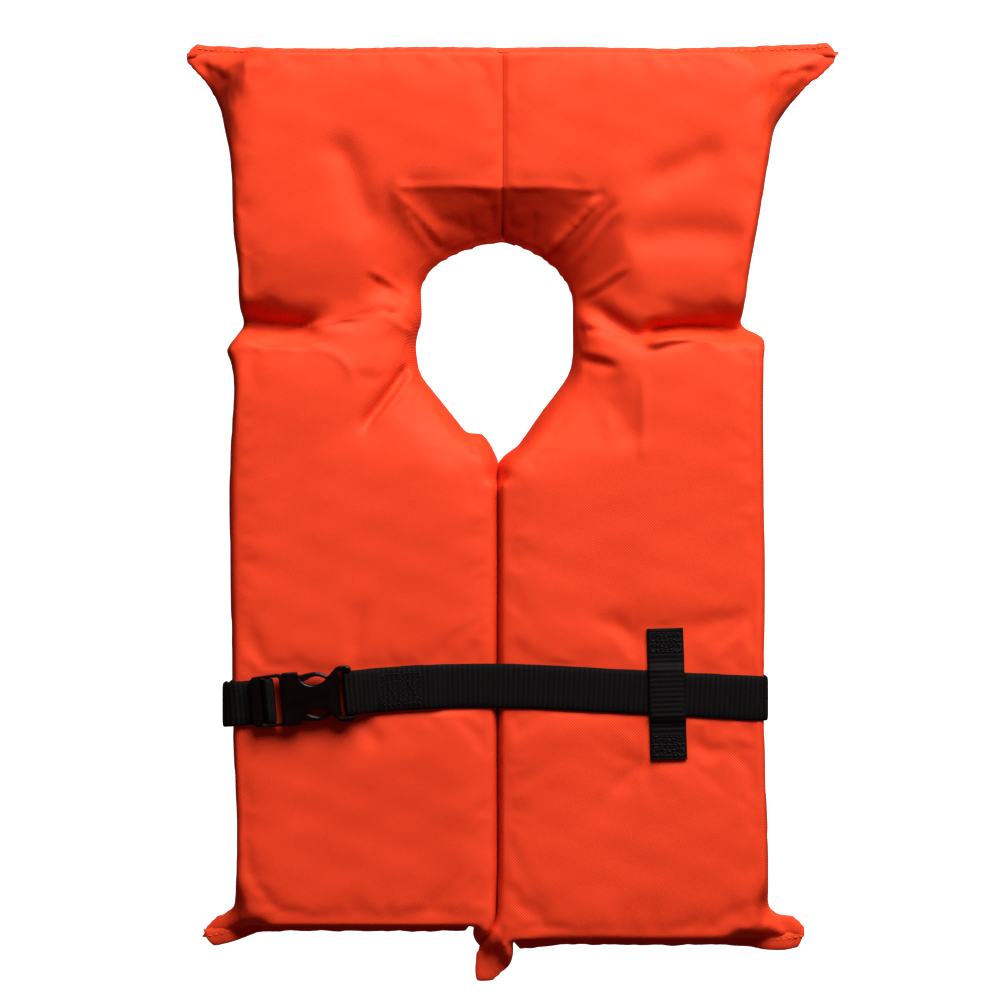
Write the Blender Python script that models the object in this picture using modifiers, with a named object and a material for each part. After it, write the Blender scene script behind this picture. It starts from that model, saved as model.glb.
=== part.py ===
"""Keyhole life jacket, lying flat with its outer face up.

Two front sections and a headrest, each a sewn nylon cover round layers of foam, are
held together by a webbing belt with a side-release buckle. Lengths are millimetres
in the script and metres in Blender. X is across the jacket, Y runs from the hems to
the headrest, Z is up, and X = 0 is the slit between the front sections.
"""

import math

import bmesh
import bpy
from mathutils import Matrix, Vector

MM = 0.001

# The padded body
THICKNESS = 60.0
MID_Z = THICKNESS / 2
HALF_WIDTH = 154.0
FABRIC = 0.8
HEADREST_END_Y = 262.0
HEADREST_FOLD_Y = 107.0
FRONT_FOLD_Y = 91.0
FOLD_AXIS_Y = (HEADREST_FOLD_Y + FRONT_FOLD_Y) / 2
FOLD_AXIS_Z = 36.0
LEFT_HEM_Y = -237.0
RIGHT_HEM_Y = -246.0
SLIT_HALF_GAP = 1.0
BACK_SEAM_HALF_GAP = 0.2

# The keyhole for the neck
NECK_RADIUS = 45.0
NECK_CENTRE_Y = 109.0
NECK_TAPER_Y = 82.0
NECK_APEX_Y = 27.0
NECK_TAPER_POWER = 1.25

# Where the foam stops round the neck, which is where the cover starts to slope down
WINDOW_TOP_Y = 184.0
WINDOW_BOTTOM_Y = 21.0
WINDOW_HALF_WIDTH = 77.0
WINDOW_SHOULDER_HALF_WIDTH = 86.0

# How the cover rounds over: inset of the flat face from the edge, and how square it is
WALL_INSET = 8.0
WALL_POWER = 4.0
HEADREST_FOLD_INSET = 22.0
HEADREST_FOLD_POWER = 2.0
NECK_POWER = 1.25
CORNER_RADIUS = 10.0
FOLD_CORNER_RADIUS = HEADREST_FOLD_INSET + 3
MOUTH_HALF_HEIGHT = 4.0
PROFILE_HEIGHTS = (0.0, 0.4, 0.7, 0.88, 0.97, 1.0)
ARC_STEPS = 3
NECK_STEPS = 8

# Foam
FOAM_LAYERS = 4
FOAM_GAP = 0.3
FOAM_FLOOR = 3.8
FOAM_CEILING = THICKNESS - FABRIC - 0.4
FOAM_CLEARANCE = 2.4
HEEL_CHAMFER = 8.0

# Webbing belt, and the line that its middle follows over the pads
WEBBING = 1.6
BELT_WIDTH = 25.4
LAYER_GAP = 0.4
LOW_LAYER_Z = THICKNESS + LAYER_GAP + WEBBING / 2
HIGH_LAYER_Z = LOW_LAYER_Z + WEBBING + LAYER_GAP
UNDER_LAYER_Z = 0.3 + WEBBING / 2
BUCKLE_TILT = math.radians(5.6)
RIGHT_FALL = math.radians(3.0)
BEND_START_X = -80.0
BEND_END_X = 30.0
BELT_SIDE_X = HALF_WIDTH + LAYER_GAP + WEBBING / 2
BELT_JOIN_X = -99.0
LOOP_END_X = -39.0
RECESS_DEPTH = 2.4
RECESS_LOW_Y = -129.0
RECESS_HIGH_Y = -95.0
RECESS_RAMP = 2.0
TAIL_END_Z = 24.0

# Keeper tab over the belt
TAB_WIDTH = 21.0
TAB_TOP = (96.0, -69.8)
TAB_BOTTOM = (98.4, -145.4)

# Side-release buckle: its own frame has X along the belt from the mouth to the end bar
MOUTH_X = -122.9
MOUTH_Y = -110.5
BUCKLE_Z = 67.0
FEMALE_HALF_THICK = 5.0
CAVITY_HALF_THICK = 3.3
CAVITY_HALF_WIDTH = 13.4
CAVITY_END = 27.6
MALE_HALF_THICK = 2.7
ARM_HALF_THICK = 2.9
WEBBING_SLOT_HALF_WIDTH = 13.1
ADJUSTER_END = -18.0
ADJUSTER_SLOT = (-12.0, -1.2)
ADJUSTER_BAR_S = -8.1
ADJUSTER_BAR_RADIUS = 1.3
FRONT_BAR_END = 4.0
ARM_PIVOT = (6.3, 11.0)
ARM_ROOT_RADIUS = 2.0
END_SLOT = (32.5, 36.6)
END_BAR_S = 38.4
END_BAR_HALF_THICK = 1.7
FEMALE_END = 40.2

# Ears: how far the sewn corners reach, and how far down the side they run
EAR_DROP = 62.0
LEFT_EAR_REACH = 25.5
RIGHT_EAR_REACH = 42.0
LIP_THICK = 2.0
LIP_GAP = 0.5

PARTS = bpy.data.collections.new("life_jacket")
CUTTERS = bpy.data.collections.new("cutters")


# ---------------------------------------------------------------- scene and materials


def clear_scene():
    for old in list(bpy.data.objects):
        bpy.data.objects.remove(old, do_unlink=True)
    bpy.context.scene.collection.children.link(PARTS)
    bpy.context.scene.collection.children.link(CUTTERS)


def material(name, colour, roughness, metallic=0.0):
    made = bpy.data.materials.new(name)
    made.use_nodes = True
    shader = made.node_tree.nodes["Principled BSDF"]
    shader.inputs["Base Color"].default_value = (*colour, 1.0)
    shader.inputs["Roughness"].default_value = roughness
    shader.inputs["Metallic"].default_value = metallic
    return made


def orange_nylon(name):
    return material(name + "_nylon", (0.90, 0.085, 0.025), 0.6)


def white_foam(name):
    return material(name + "_foam", (0.86, 0.86, 0.82), 0.9)


def black_webbing(name):
    return material(name + "_webbing", (0.012, 0.012, 0.012), 0.8)


def black_plastic(name):
    return material(name + "_acetal", (0.01, 0.01, 0.01), 0.35)


# ------------------------------------------------------------------- object helpers


def empty(name, location, parent=None, rotation=(0.0, 0.0, 0.0)):
    """An axis or frame that pieces hang on, with its place in millimetres."""
    made = bpy.data.objects.new(name, None)
    made.parent = parent
    made.location = [value * MM for value in location]
    made.rotation_euler = rotation
    PARTS.objects.link(made)
    return made


def object_from(bm, name, finish, parent, origin=(0.0, 0.0, 0.0), smooth=True):
    """An object from a mesh in millimetres, whose own origin lies at origin."""
    bmesh.ops.recalc_face_normals(bm, faces=bm.faces)
    bmesh.ops.transform(
        bm, matrix=Matrix.Scale(MM, 4) @ Matrix.Translation(-Vector(origin)), verts=bm.verts
    )
    mesh = bpy.data.meshes.new(name)
    bm.to_mesh(mesh)
    bm.free()
    made = bpy.data.objects.new(name, mesh)
    made.parent = parent
    made.location = Vector(origin) * MM
    if finish is not None:
        mesh.materials.append(finish)
    if smooth:
        mesh.shade_smooth()
        mesh.set_sharp_from_angle(angle=math.radians(35))
    PARTS.objects.link(made)
    return made


def make_cutter(made):
    made.hide_render = True
    made.display_type = "WIRE"
    PARTS.objects.unlink(made)
    CUTTERS.objects.link(made)
    return made


def cutter_box(name, low, high, parent):
    """A box between two corners, kept as a cutter."""
    bm = bmesh.new()
    bmesh.ops.create_cube(bm, size=1.0)
    size = Vector(high) - Vector(low)
    middle = (Vector(high) + Vector(low)) / 2
    bmesh.ops.scale(bm, vec=size, verts=bm.verts)
    bmesh.ops.translate(bm, vec=middle, verts=bm.verts)
    return make_cutter(object_from(bm, name, None, parent, smooth=False))


def boolean(target, tool, operation):
    step = target.modifiers.new(operation.lower() + "_" + tool.name, "BOOLEAN")
    step.operation = operation
    step.object = tool
    step.solver = "EXACT"


def bevel(target, width, segments=2, angle=50):
    step = target.modifiers.new("soft_edges", "BEVEL")
    step.width = width * MM
    step.segments = segments
    step.limit_method = "ANGLE"
    step.angle_limit = math.radians(angle)


def plate(name, outlines, low_z, high_z, finish, parent, origin=(0.0, 0.0, 0.0)):
    """A flat piece: a filled 2D curve, extruded, as a welded mesh. Later outlines are holes."""
    curve = bpy.data.curves.new(name + "_outline", "CURVE")
    curve.dimensions = "2D"
    curve.fill_mode = "BOTH"
    curve.extrude = (high_z - low_z) / 2
    for outline in outlines:
        spline = curve.splines.new("POLY")
        spline.points.add(len(outline) - 1)
        for point, (x, y) in zip(spline.points, outline):
            point.co = (x, y, 0.0, 1.0)
        spline.use_cyclic_u = True
    drawn = bpy.data.objects.new(name + "_outline", curve)
    CUTTERS.objects.link(drawn)
    bpy.context.view_layer.update()
    mesh = bpy.data.meshes.new_from_object(
        drawn.evaluated_get(bpy.context.evaluated_depsgraph_get())
    )
    bpy.data.objects.remove(drawn, do_unlink=True)
    bm = bmesh.new()
    bm.from_mesh(mesh)
    bpy.data.meshes.remove(mesh)
    bmesh.ops.remove_doubles(bm, verts=bm.verts, dist=0.01)
    bmesh.ops.dissolve_limit(
        bm, angle_limit=math.radians(1), verts=bm.verts, edges=bm.edges
    )
    bmesh.ops.translate(bm, vec=(0.0, 0.0, (low_z + high_z) / 2), verts=bm.verts)
    return object_from(bm, name, finish, parent, origin)


def arc(centre, radius, start, end, steps=ARC_STEPS):
    """Points on an arc, with its angles in degrees."""
    points = []
    for k in range(steps + 1):
        turn = math.radians(start + (end - start) * k / steps)
        points.append((centre[0] + radius * math.cos(turn), centre[1] + radius * math.sin(turn)))
    return points


def mirrored(points, side):
    return [(side * x, y) for x, y in points]


# ------------------------------------------------------------------- padded sections


def keyhole_half_width(y):
    """Half the width of the neck hole at y: round above, tapering to the slit below."""
    if y >= NECK_CENTRE_Y:
        return math.sqrt(max(NECK_RADIUS**2 - (y - NECK_CENTRE_Y) ** 2, 0.0))
    if y >= NECK_TAPER_Y:
        return NECK_RADIUS
    share = (NECK_TAPER_Y - y) / (NECK_TAPER_Y - NECK_APEX_Y)
    return NECK_RADIUS * (1 - share**NECK_TAPER_POWER)


def round_over(height, power):
    """Share of the inset that the cover has come in, at a height from 0 (middle) to 1 (face)."""
    return 1 - (1 - height**power) ** (1 / power)


class Station:
    """A point on a section's outline, the point of the flat face above it, and the profile between."""

    def __init__(self, rim, crest, power=WALL_POWER, mouth=False):
        self.rim = Vector(rim)
        self.crest = Vector(crest)
        self.power = power
        self.mouth = mouth

    def at(self, level, upper):
        height = PROFILE_HEIGHTS[level]
        flat = self.rim.lerp(self.crest, round_over(height, self.power))
        rise = height * MID_Z
        if self.mouth and level == 0:
            rise = MOUTH_HALF_HEIGHT
        return (flat.x, flat.y, MID_Z + rise if upper else MID_Z - rise)


def corner_stations(centre, radius, inset, start, end, power=WALL_POWER):
    rims = arc(centre, radius, start, end)
    crests = arc(centre, radius - inset, start, end)
    return [Station(rim, crest, power) for rim, crest in zip(rims, crests)]


def front_stations(hem_y):
    """The right front section's outline, from the shoulder round the neck, slit and hem."""
    stations = []
    for k in range(NECK_STEPS + 1):
        share = k / NECK_STEPS
        y = FRONT_FOLD_Y + (NECK_APEX_Y + 1 - FRONT_FOLD_Y) * share
        rim = (max(keyhole_half_width(y), SLIT_HALF_GAP), y)
        if share <= 0.5:
            down = share / 0.5
            x = WINDOW_SHOULDER_HALF_WIDTH + (WINDOW_HALF_WIDTH - WINDOW_SHOULDER_HALF_WIDTH) * down
            top_y = FRONT_FOLD_Y - WALL_INSET - 1
            crest = (x, top_y + (WINDOW_BOTTOM_Y - top_y) * down)
        else:
            across = (share - 0.5) / 0.5
            inner = SLIT_HALF_GAP + WALL_INSET
            crest = (WINDOW_HALF_WIDTH + (inner - WINDOW_HALF_WIDTH) * across, WINDOW_BOTTOM_Y)
        stations.append(Station(rim, crest, NECK_POWER, mouth=k == 0))
    left = SLIT_HALF_GAP + CORNER_RADIUS
    right = HALF_WIDTH - CORNER_RADIUS
    low = hem_y + CORNER_RADIUS
    high = FRONT_FOLD_Y - CORNER_RADIUS
    stations += [Station((SLIT_HALF_GAP, 12.0), (SLIT_HALF_GAP + WALL_INSET, 12.0))]
    stations += corner_stations((left, low), CORNER_RADIUS, WALL_INSET, 180, 270)
    stations += corner_stations((right, low), CORNER_RADIUS, WALL_INSET, 270, 360)
    shoulder = corner_stations((right, high), CORNER_RADIUS, WALL_INSET, 0, 90)
    shoulder[-1].mouth = True
    stations += shoulder
    for x in (118.0, 92.0):
        stations.append(Station((x, FRONT_FOLD_Y), (x, FRONT_FOLD_Y - WALL_INSET), mouth=True))
    return stations


def headrest_stations():
    """The right half of the headrest's outline, from the back seam's far end to its neck end."""
    inner = BACK_SEAM_HALF_GAP
    right = HALF_WIDTH - CORNER_RADIUS
    stations = [Station((inner, HEADREST_END_Y), (inner, HEADREST_END_Y - WALL_INSET))]
    top = (right, HEADREST_END_Y - CORNER_RADIUS)
    stations += corner_stations(top, CORNER_RADIUS, WALL_INSET, 90, 0)
    radius = FOLD_CORNER_RADIUS
    low = (HALF_WIDTH - radius, HEADREST_FOLD_Y + radius)
    shoulder = corner_stations(low, radius, HEADREST_FOLD_INSET, 0, -90, HEADREST_FOLD_POWER)
    shoulder[-1].mouth = True
    stations += shoulder
    fold_crest = HEADREST_FOLD_Y + HEADREST_FOLD_INSET
    stations.append(
        Station((92.0, HEADREST_FOLD_Y), (92.0, fold_crest), HEADREST_FOLD_POWER, mouth=True)
    )
    for k in range(NECK_STEPS + 1):
        share = k / NECK_STEPS
        turn = math.radians(90 * share)
        rim_x = max(NECK_RADIUS * math.cos(turn), inner)
        rim = (rim_x, HEADREST_FOLD_Y + (NECK_CENTRE_Y + NECK_RADIUS - HEADREST_FOLD_Y) * math.sin(turn))
        if share <= 0.5:
            up = share / 0.5
            x = WINDOW_SHOULDER_HALF_WIDTH + (WINDOW_HALF_WIDTH - 7 - WINDOW_SHOULDER_HALF_WIDTH) * up
            crest = (x, fold_crest + (WINDOW_TOP_Y - fold_crest) * up)
        else:
            across = (share - 0.5) / 0.5
            crest = (WINDOW_HALF_WIDTH - 7 + (inner - WINDOW_HALF_WIDTH + 7) * across, WINDOW_TOP_Y)
        stations.append(Station(rim, crest, NECK_POWER, mouth=k == 0))
    return stations


def press_in_belt(bm):
    """Lift the underside where the belt passes, so that the section still rests on its face."""
    edges = (RECESS_LOW_Y - RECESS_RAMP, RECESS_LOW_Y, RECESS_HIGH_Y, RECESS_HIGH_Y + RECESS_RAMP)
    for y in edges:
        bmesh.ops.bisect_plane(
            bm, geom=bm.verts[:] + bm.edges[:] + bm.faces[:], dist=1e-4,
            plane_co=(0.0, y, 0.0), plane_no=(0.0, 1.0, 0.0),
        )
    for vert in bm.verts:
        if RECESS_LOW_Y - 0.01 <= vert.co.y <= RECESS_HIGH_Y + 0.01 and vert.co.z < MID_Z:
            vert.co.z += RECESS_DEPTH * (1 - vert.co.z / MID_Z)


def cover(name, stations, side, closed, parent, belted=False):
    """A sewn cover: an open surface over and under the foam, thickened inwards to the fabric."""
    bm = bmesh.new()
    levels = range(len(PROFILE_HEIGHTS))
    for upper in (True, False):
        rows = []
        for station in stations:
            row = []
            for level in levels:
                x, y, z = station.at(level, upper)
                row.append(bm.verts.new((side * x, y, z)))
            rows.append(row)
        spans = list(zip(rows, rows[1:] + rows[:1])) if closed else list(zip(rows, rows[1:]))
        for here, there in spans:
            for level in levels[:-1]:
                bm.faces.new((here[level], there[level], there[level + 1], here[level + 1]))
        bm.faces.new([row[-1] for row in rows])
    bmesh.ops.remove_doubles(bm, verts=bm.verts, dist=0.01)
    if belted:
        press_in_belt(bm)
    origin = (0.0, 0.0, 0.0)
    if parent.name == "headrest_fold":
        origin = (0.0, FOLD_AXIS_Y, FOLD_AXIS_Z)
    made = on_frame(bm, name, orange_nylon(name), parent, origin)
    fabric = made.modifiers.new("fabric", "SOLIDIFY")
    fabric.thickness = FABRIC * MM
    fabric.offset = -1.0
    fabric.use_even_offset = True
    return made


def on_frame(bm, name, finish, parent, origin):
    """An object whose mesh is in jacket coordinates, hung on a frame that stands at origin."""
    bmesh.ops.translate(bm, vec=-Vector(origin), verts=bm.verts)
    return object_from(bm, name, finish, parent)


def foam_layers():
    """Low and high Z of each foam layer, from the bottom."""
    room = FOAM_CEILING - FOAM_FLOOR - FOAM_GAP * (FOAM_LAYERS - 1)
    thick = room / FOAM_LAYERS
    for k in range(FOAM_LAYERS):
        low = FOAM_FLOOR + k * (thick + FOAM_GAP)
        yield k + 1, low, low + thick


def foam_inset(low, high, inset, power):
    """How far a foam layer stays inside the cover's edge."""
    reach = max(abs(low - MID_Z), abs(high - MID_Z)) + FABRIC + FOAM_GAP
    return FABRIC + FOAM_CLEARANCE + inset * round_over(min(reach / MID_Z, 1.0), power)


def front_foam(name, side, hem_y, frame):
    """Foam slabs of a front section, each cut away round the neck."""
    for number, low, high in foam_layers():
        edge = foam_inset(low, high, WALL_INSET, WALL_POWER)
        if number == 1:
            edge += RECESS_DEPTH
        radius = CORNER_RADIUS - edge
        left = SLIT_HALF_GAP + CORNER_RADIUS
        right = HALF_WIDTH - CORNER_RADIUS
        bottom = hem_y + CORNER_RADIUS
        window = WINDOW_SHOULDER_HALF_WIDTH + FOAM_CLEARANCE
        sill = WINDOW_BOTTOM_Y - FABRIC - FOAM_CLEARANCE
        outline = arc((left, bottom), radius, 180, 270) + arc((right, bottom), radius, 270, 360)
        outline += arc((right, FRONT_FOLD_Y - CORNER_RADIUS), radius, 0, 90)
        outline += [(window, FRONT_FOLD_Y - edge), (window, sill), (left - radius, sill)]
        label = f"{name}_foam_{number}"
        plate(label, [mirrored(outline, side)], low, high, white_foam(label), frame)


def headrest_foam(fold):
    """Foam slabs of the headrest, each one piece with a leg either side of the neck."""
    for number, low, high in foam_layers():
        edge = foam_inset(low, high, WALL_INSET, WALL_POWER)
        fold_edge = foam_inset(low, high, HEADREST_FOLD_INSET, HEADREST_FOLD_POWER)
        top = (HALF_WIDTH - CORNER_RADIUS, HEADREST_END_Y - CORNER_RADIUS)
        foot = (HALF_WIDTH - FOLD_CORNER_RADIUS, HEADREST_FOLD_Y + FOLD_CORNER_RADIUS)
        window = WINDOW_SHOULDER_HALF_WIDTH + FOAM_CLEARANCE
        sill = WINDOW_TOP_Y + FABRIC + FOAM_CLEARANCE
        half = arc(top, CORNER_RADIUS - edge, 90, 0)
        half += arc(foot, FOLD_CORNER_RADIUS - fold_edge, 0, -90)
        heel = HEADREST_FOLD_Y + fold_edge
        half += [(window + HEEL_CHAMFER, heel), (window, heel + HEEL_CHAMFER), (window, sill)]
        outline = half + mirrored(half, -1)[::-1]
        shifted = [(x, y - FOLD_AXIS_Y) for x, y in outline]
        label = f"headrest_foam_{number}"
        plate(label, [shifted], low - FOLD_AXIS_Z, high - FOLD_AXIS_Z, white_foam(label), fold)


# ---------------------------------------------------------------- sewn closures and ears


def ear_edge(reach, power, steps=6):
    """The outer edge of a headrest ear, from its foot up to its tip."""
    points = []
    for k in range(steps + 1):
        drop = EAR_DROP * (1 - k / steps)
        out = reach * (1 - drop / EAR_DROP) ** power
        points.append((HALF_WIDTH + LIP_GAP + 0.6 + out, HEADREST_END_Y + 6.0 - drop))
    return points


def headrest_lip(fold):
    """The sewn closure along the headrest's far end, with an ear at each corner."""
    inner_x = HALF_WIDTH + LIP_GAP
    inner_y = HEADREST_END_Y + LIP_GAP
    radius = CORNER_RADIUS
    corner = arc((inner_x - radius, inner_y - radius), radius, 0, 90)
    foot = HEADREST_END_Y + 6.0 - EAR_DROP
    inner = [(inner_x, foot)] + corner
    right = ear_edge(RIGHT_EAR_REACH, 1.3)
    left = mirrored(ear_edge(LEFT_EAR_REACH, 1.5), -1)
    outline = right + [(0.0, HEADREST_END_Y + 4.5)] + left[::-1] + mirrored(inner, -1) + inner[::-1]
    shifted = [(x, y - FOLD_AXIS_Y) for x, y in outline]
    middle = MID_Z - FOLD_AXIS_Z
    name = "headrest_closure_lip"
    plate(name, [shifted], middle - LIP_THICK / 2, middle + LIP_THICK / 2, orange_nylon(name), fold)


def hem_lip(name, side, hem_y, middle_z, outer_ear, inner_ear, frame):
    """The sewn closure under a front section's hem, with an ear at each corner."""
    radius = CORNER_RADIUS
    outer_x = HALF_WIDTH + LIP_GAP
    inner_x = SLIT_HALF_GAP - 0.2
    base = hem_y - LIP_GAP
    outer_corner = arc((outer_x - radius, base + radius), radius, 270, 360)
    outline = [(inner_x + radius, base)] + outer_corner
    outline += outer_ear + inner_ear
    drawn = mirrored(outline, side)
    plate(name, [drawn], middle_z - LIP_THICK / 2, middle_z + LIP_THICK / 2, orange_nylon(name), frame)


def hem_lips(frame):
    left_outer = [(156.0, -231.0), (163.0, -241.0), (171.4, -251.0), (158.0, -250.0), (148.0, -242.5)]
    left_inner = [(12.0, -242.5), (9.0, -252.0), (3.5, -253.5), (1.5, -246.0), (3.5, -240.5)]
    hem_lip("left_hem_lip", -1, LEFT_HEM_Y, MID_Z - 8, left_outer, left_inner, frame)
    right_outer = [
        (156.0, -236.0), (166.0, -240.0), (179.5, -252.0), (165.6, -255.6), (150.0, -253.5),
    ]
    right_inner = [(16.0, -253.5), (8.0, -254.0), (2.0, -264.0), (-9.2, -270.6), (-11.0, -259.0), (1.5, -247.5)]
    hem_lip("right_hem_lip", 1, RIGHT_HEM_Y, MID_Z, right_outer, right_inner, frame)


# ------------------------------------------------------------------------- webbing


def belt_line(x):
    """Y of the belt's middle on top of the pads: straight through the buckle, then easing over."""
    rise = math.tan(BUCKLE_TILT)
    fall = math.tan(RIGHT_FALL)
    y = MOUTH_Y + rise * (min(x, BEND_START_X) - MOUTH_X)
    if x > BEND_START_X:
        along = min(x, BEND_END_X) - BEND_START_X
        change = (rise + fall) / (BEND_END_X - BEND_START_X)
        y += rise * along - change * along**2 / 2
    return y - fall * max(x - BEND_END_X, 0.0)


def under_line(x):
    """Y of the belt's middle under the pads."""
    left, right = belt_line(-HALF_WIDTH), belt_line(HALF_WIDTH)
    return left + (right - left) * (x + HALF_WIDTH) / (2 * HALF_WIDTH)


def rounded_path(corners, longest=16.0, steps=4):
    """A path in X and Z through corners (x, z, radius), with arcs at them and short runs between."""
    path = [Vector(corners[0][:2])]
    for before, (x, z, radius), after in zip(corners, corners[1:], corners[2:]):
        corner = Vector((x, z))
        to_before = (Vector(before[:2]) - corner).normalized()
        to_after = (Vector(after[:2]) - corner).normalized()
        half_angle = to_before.angle(to_after) / 2
        middle = corner + (to_before + to_after).normalized() * radius / math.sin(half_angle)
        start = corner + to_before * radius / math.tan(half_angle)
        end = corner + to_after * radius / math.tan(half_angle)
        for k in range(steps + 1):
            spoke = (start - middle).lerp(end - middle, k / steps)
            path.append(middle + spoke.normalized() * radius)
    path.append(Vector(corners[-1][:2]))
    full = [path[0]]
    for here, there in zip(path, path[1:]):
        pieces = max(1, math.ceil((there - here).length / longest))
        full += [here.lerp(there, (k + 1) / pieces) for k in range(pieces)]
    return full


def ribbon(name, path, across, width, parent):
    """Flat webbing along a path of 3D points: a strip, thickened to both sides.

    across gives, at a point, the way that the webbing's width lies.
    """
    bm = bmesh.new()
    rows = []
    for k, point in enumerate(path):
        ahead = path[min(k + 1, len(path) - 1)] - path[max(k - 1, 0)]
        along = ahead.normalized()
        wide = across(point)
        sideways = (wide - along * along.dot(wide)).normalized()
        rows.append([bm.verts.new(point + sideways * width / 2 * end) for end in (-1, 1)])
    for (a, b), (c, d) in zip(rows, rows[1:]):
        bm.faces.new((a, b, d, c))
    made = object_from(bm, name, black_webbing(name), parent)
    thick = made.modifiers.new("webbing", "SOLIDIFY")
    thick.thickness = WEBBING * MM
    thick.offset = 0.0
    thick.use_even_offset = True
    return made


def on_axis(s):
    """X of a point at s along the buckle's axis."""
    return MOUTH_X + s * math.cos(BUCKLE_TILT)


def belt_across(point):
    """The way the belt's width lies: square to the buckle in it, and across the jacket elsewhere."""
    if on_axis(ADJUSTER_END) < point.x < BEND_START_X:
        return Vector((-math.sin(BUCKLE_TILT), math.cos(BUCKLE_TILT), 0.0))
    return Vector((0.0, 1.0, 0.0))


def belt_path(corners):
    """A belt path: over the pads it follows the belt's line, and below them the straight line back."""
    path = []
    for point in rounded_path(corners):
        line = belt_line if point.y > MID_Z else under_line
        path.append(Vector((point.x, line(point.x), point.y)))
    return path


def sewn_loop_and_belt(frame):
    """The belt: sewn back on itself round the buckle's end bar, over the pads and back beneath."""
    turn = END_BAR_HALF_THICK + LAYER_GAP + WEBBING / 2
    left = on_axis(END_BAR_S) - 1.9 - LAYER_GAP - WEBBING / 2
    right = on_axis(FEMALE_END) + 1.4
    corners = [
        (LOOP_END_X, LOW_LAYER_Z, 0),
        (right + 7, LOW_LAYER_Z, 3),
        (right, BUCKLE_Z - turn, 3),
        (left, BUCKLE_Z - turn, turn - 1.0),
        (left, BUCKLE_Z + turn, turn - 1.0),
        (right + 1, BUCKLE_Z + turn, 3),
        (right + 13, HIGH_LAYER_Z, 5),
        (LOOP_END_X + 1, HIGH_LAYER_Z, 5),
        (LOOP_END_X + 9, LOW_LAYER_Z, 5),
        (BELT_SIDE_X, LOW_LAYER_Z, 8),
        (BELT_SIDE_X, UNDER_LAYER_Z, 8),
        (BELT_JOIN_X, UNDER_LAYER_Z, 0),
    ]
    ribbon("belt_webbing", belt_path(corners), belt_across, BELT_WIDTH, frame)


def adjuster_run(buckle_frame):
    """The belt's free end: up round the left side, through the adjuster, and back as the tail."""
    bar = on_axis(ADJUSTER_BAR_S)
    turn = ADJUSTER_BAR_RADIUS + LAYER_GAP + WEBBING / 2
    tail_x = -BELT_SIDE_X - WEBBING - 1.0
    corners = [
        (BELT_JOIN_X - 0.6, UNDER_LAYER_Z, 0),
        (-BELT_SIDE_X, UNDER_LAYER_Z, 8),
        (-BELT_SIDE_X, LOW_LAYER_Z, 8),
        (bar + turn, LOW_LAYER_Z, 2),
        (bar + turn, BUCKLE_Z + turn, turn - 0.2),
        (bar - turn, BUCKLE_Z + turn, turn - 0.2),
        (bar - turn, HIGH_LAYER_Z, 1.3),
        (tail_x, HIGH_LAYER_Z, 9),
        (tail_x, TAIL_END_Z, 0),
    ]
    path = belt_path(corners)
    for point in path:
        if point.x <= tail_x + 1.0 and point.z <= MID_Z:
            point.y = belt_line(tail_x)
    turned = Matrix.Rotation(-BUCKLE_TILT, 4, "Z")
    mouth = Vector((MOUTH_X, MOUTH_Y, BUCKLE_Z))
    local = [turned @ (point - mouth) for point in path]
    ribbon(
        "belt_adjuster_run", local, lambda point: turned @ belt_across(turned.inverted() @ point + mouth),
        BELT_WIDTH, buckle_frame,
    )


def keeper_tab(frame):
    """The vertical tab that holds the belt, sewn to the right front section at both ends."""
    crossing = belt_line((TAB_TOP[0] + TAB_BOTTOM[0]) / 2)
    half = BELT_WIDTH / 2
    corners = [
        (TAB_BOTTOM[1], LOW_LAYER_Z, 0),
        (crossing - half - 5, LOW_LAYER_Z, 4),
        (crossing - half - 1, HIGH_LAYER_Z, 4),
        (crossing + half + 1, HIGH_LAYER_Z, 4),
        (crossing + half + 5, LOW_LAYER_Z, 4),
        (TAB_TOP[1], LOW_LAYER_Z, 0),
    ]
    slope = (TAB_TOP[0] - TAB_BOTTOM[0]) / (TAB_TOP[1] - TAB_BOTTOM[1])
    path = []
    for point in rounded_path(corners):
        path.append(Vector((TAB_BOTTOM[0] + slope * (point.x - TAB_BOTTOM[1]), point.x, point.y)))
    ribbon("belt_keeper_tab", path, lambda point: Vector((1.0, 0.0, 0.0)), TAB_WIDTH, frame)


# -------------------------------------------------------------------------- buckle


def both_sides(half):
    """A closed outline from its upper half, mirrored in the buckle's axis."""
    return half + [(s, -y) for s, y in reversed(half)]


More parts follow.
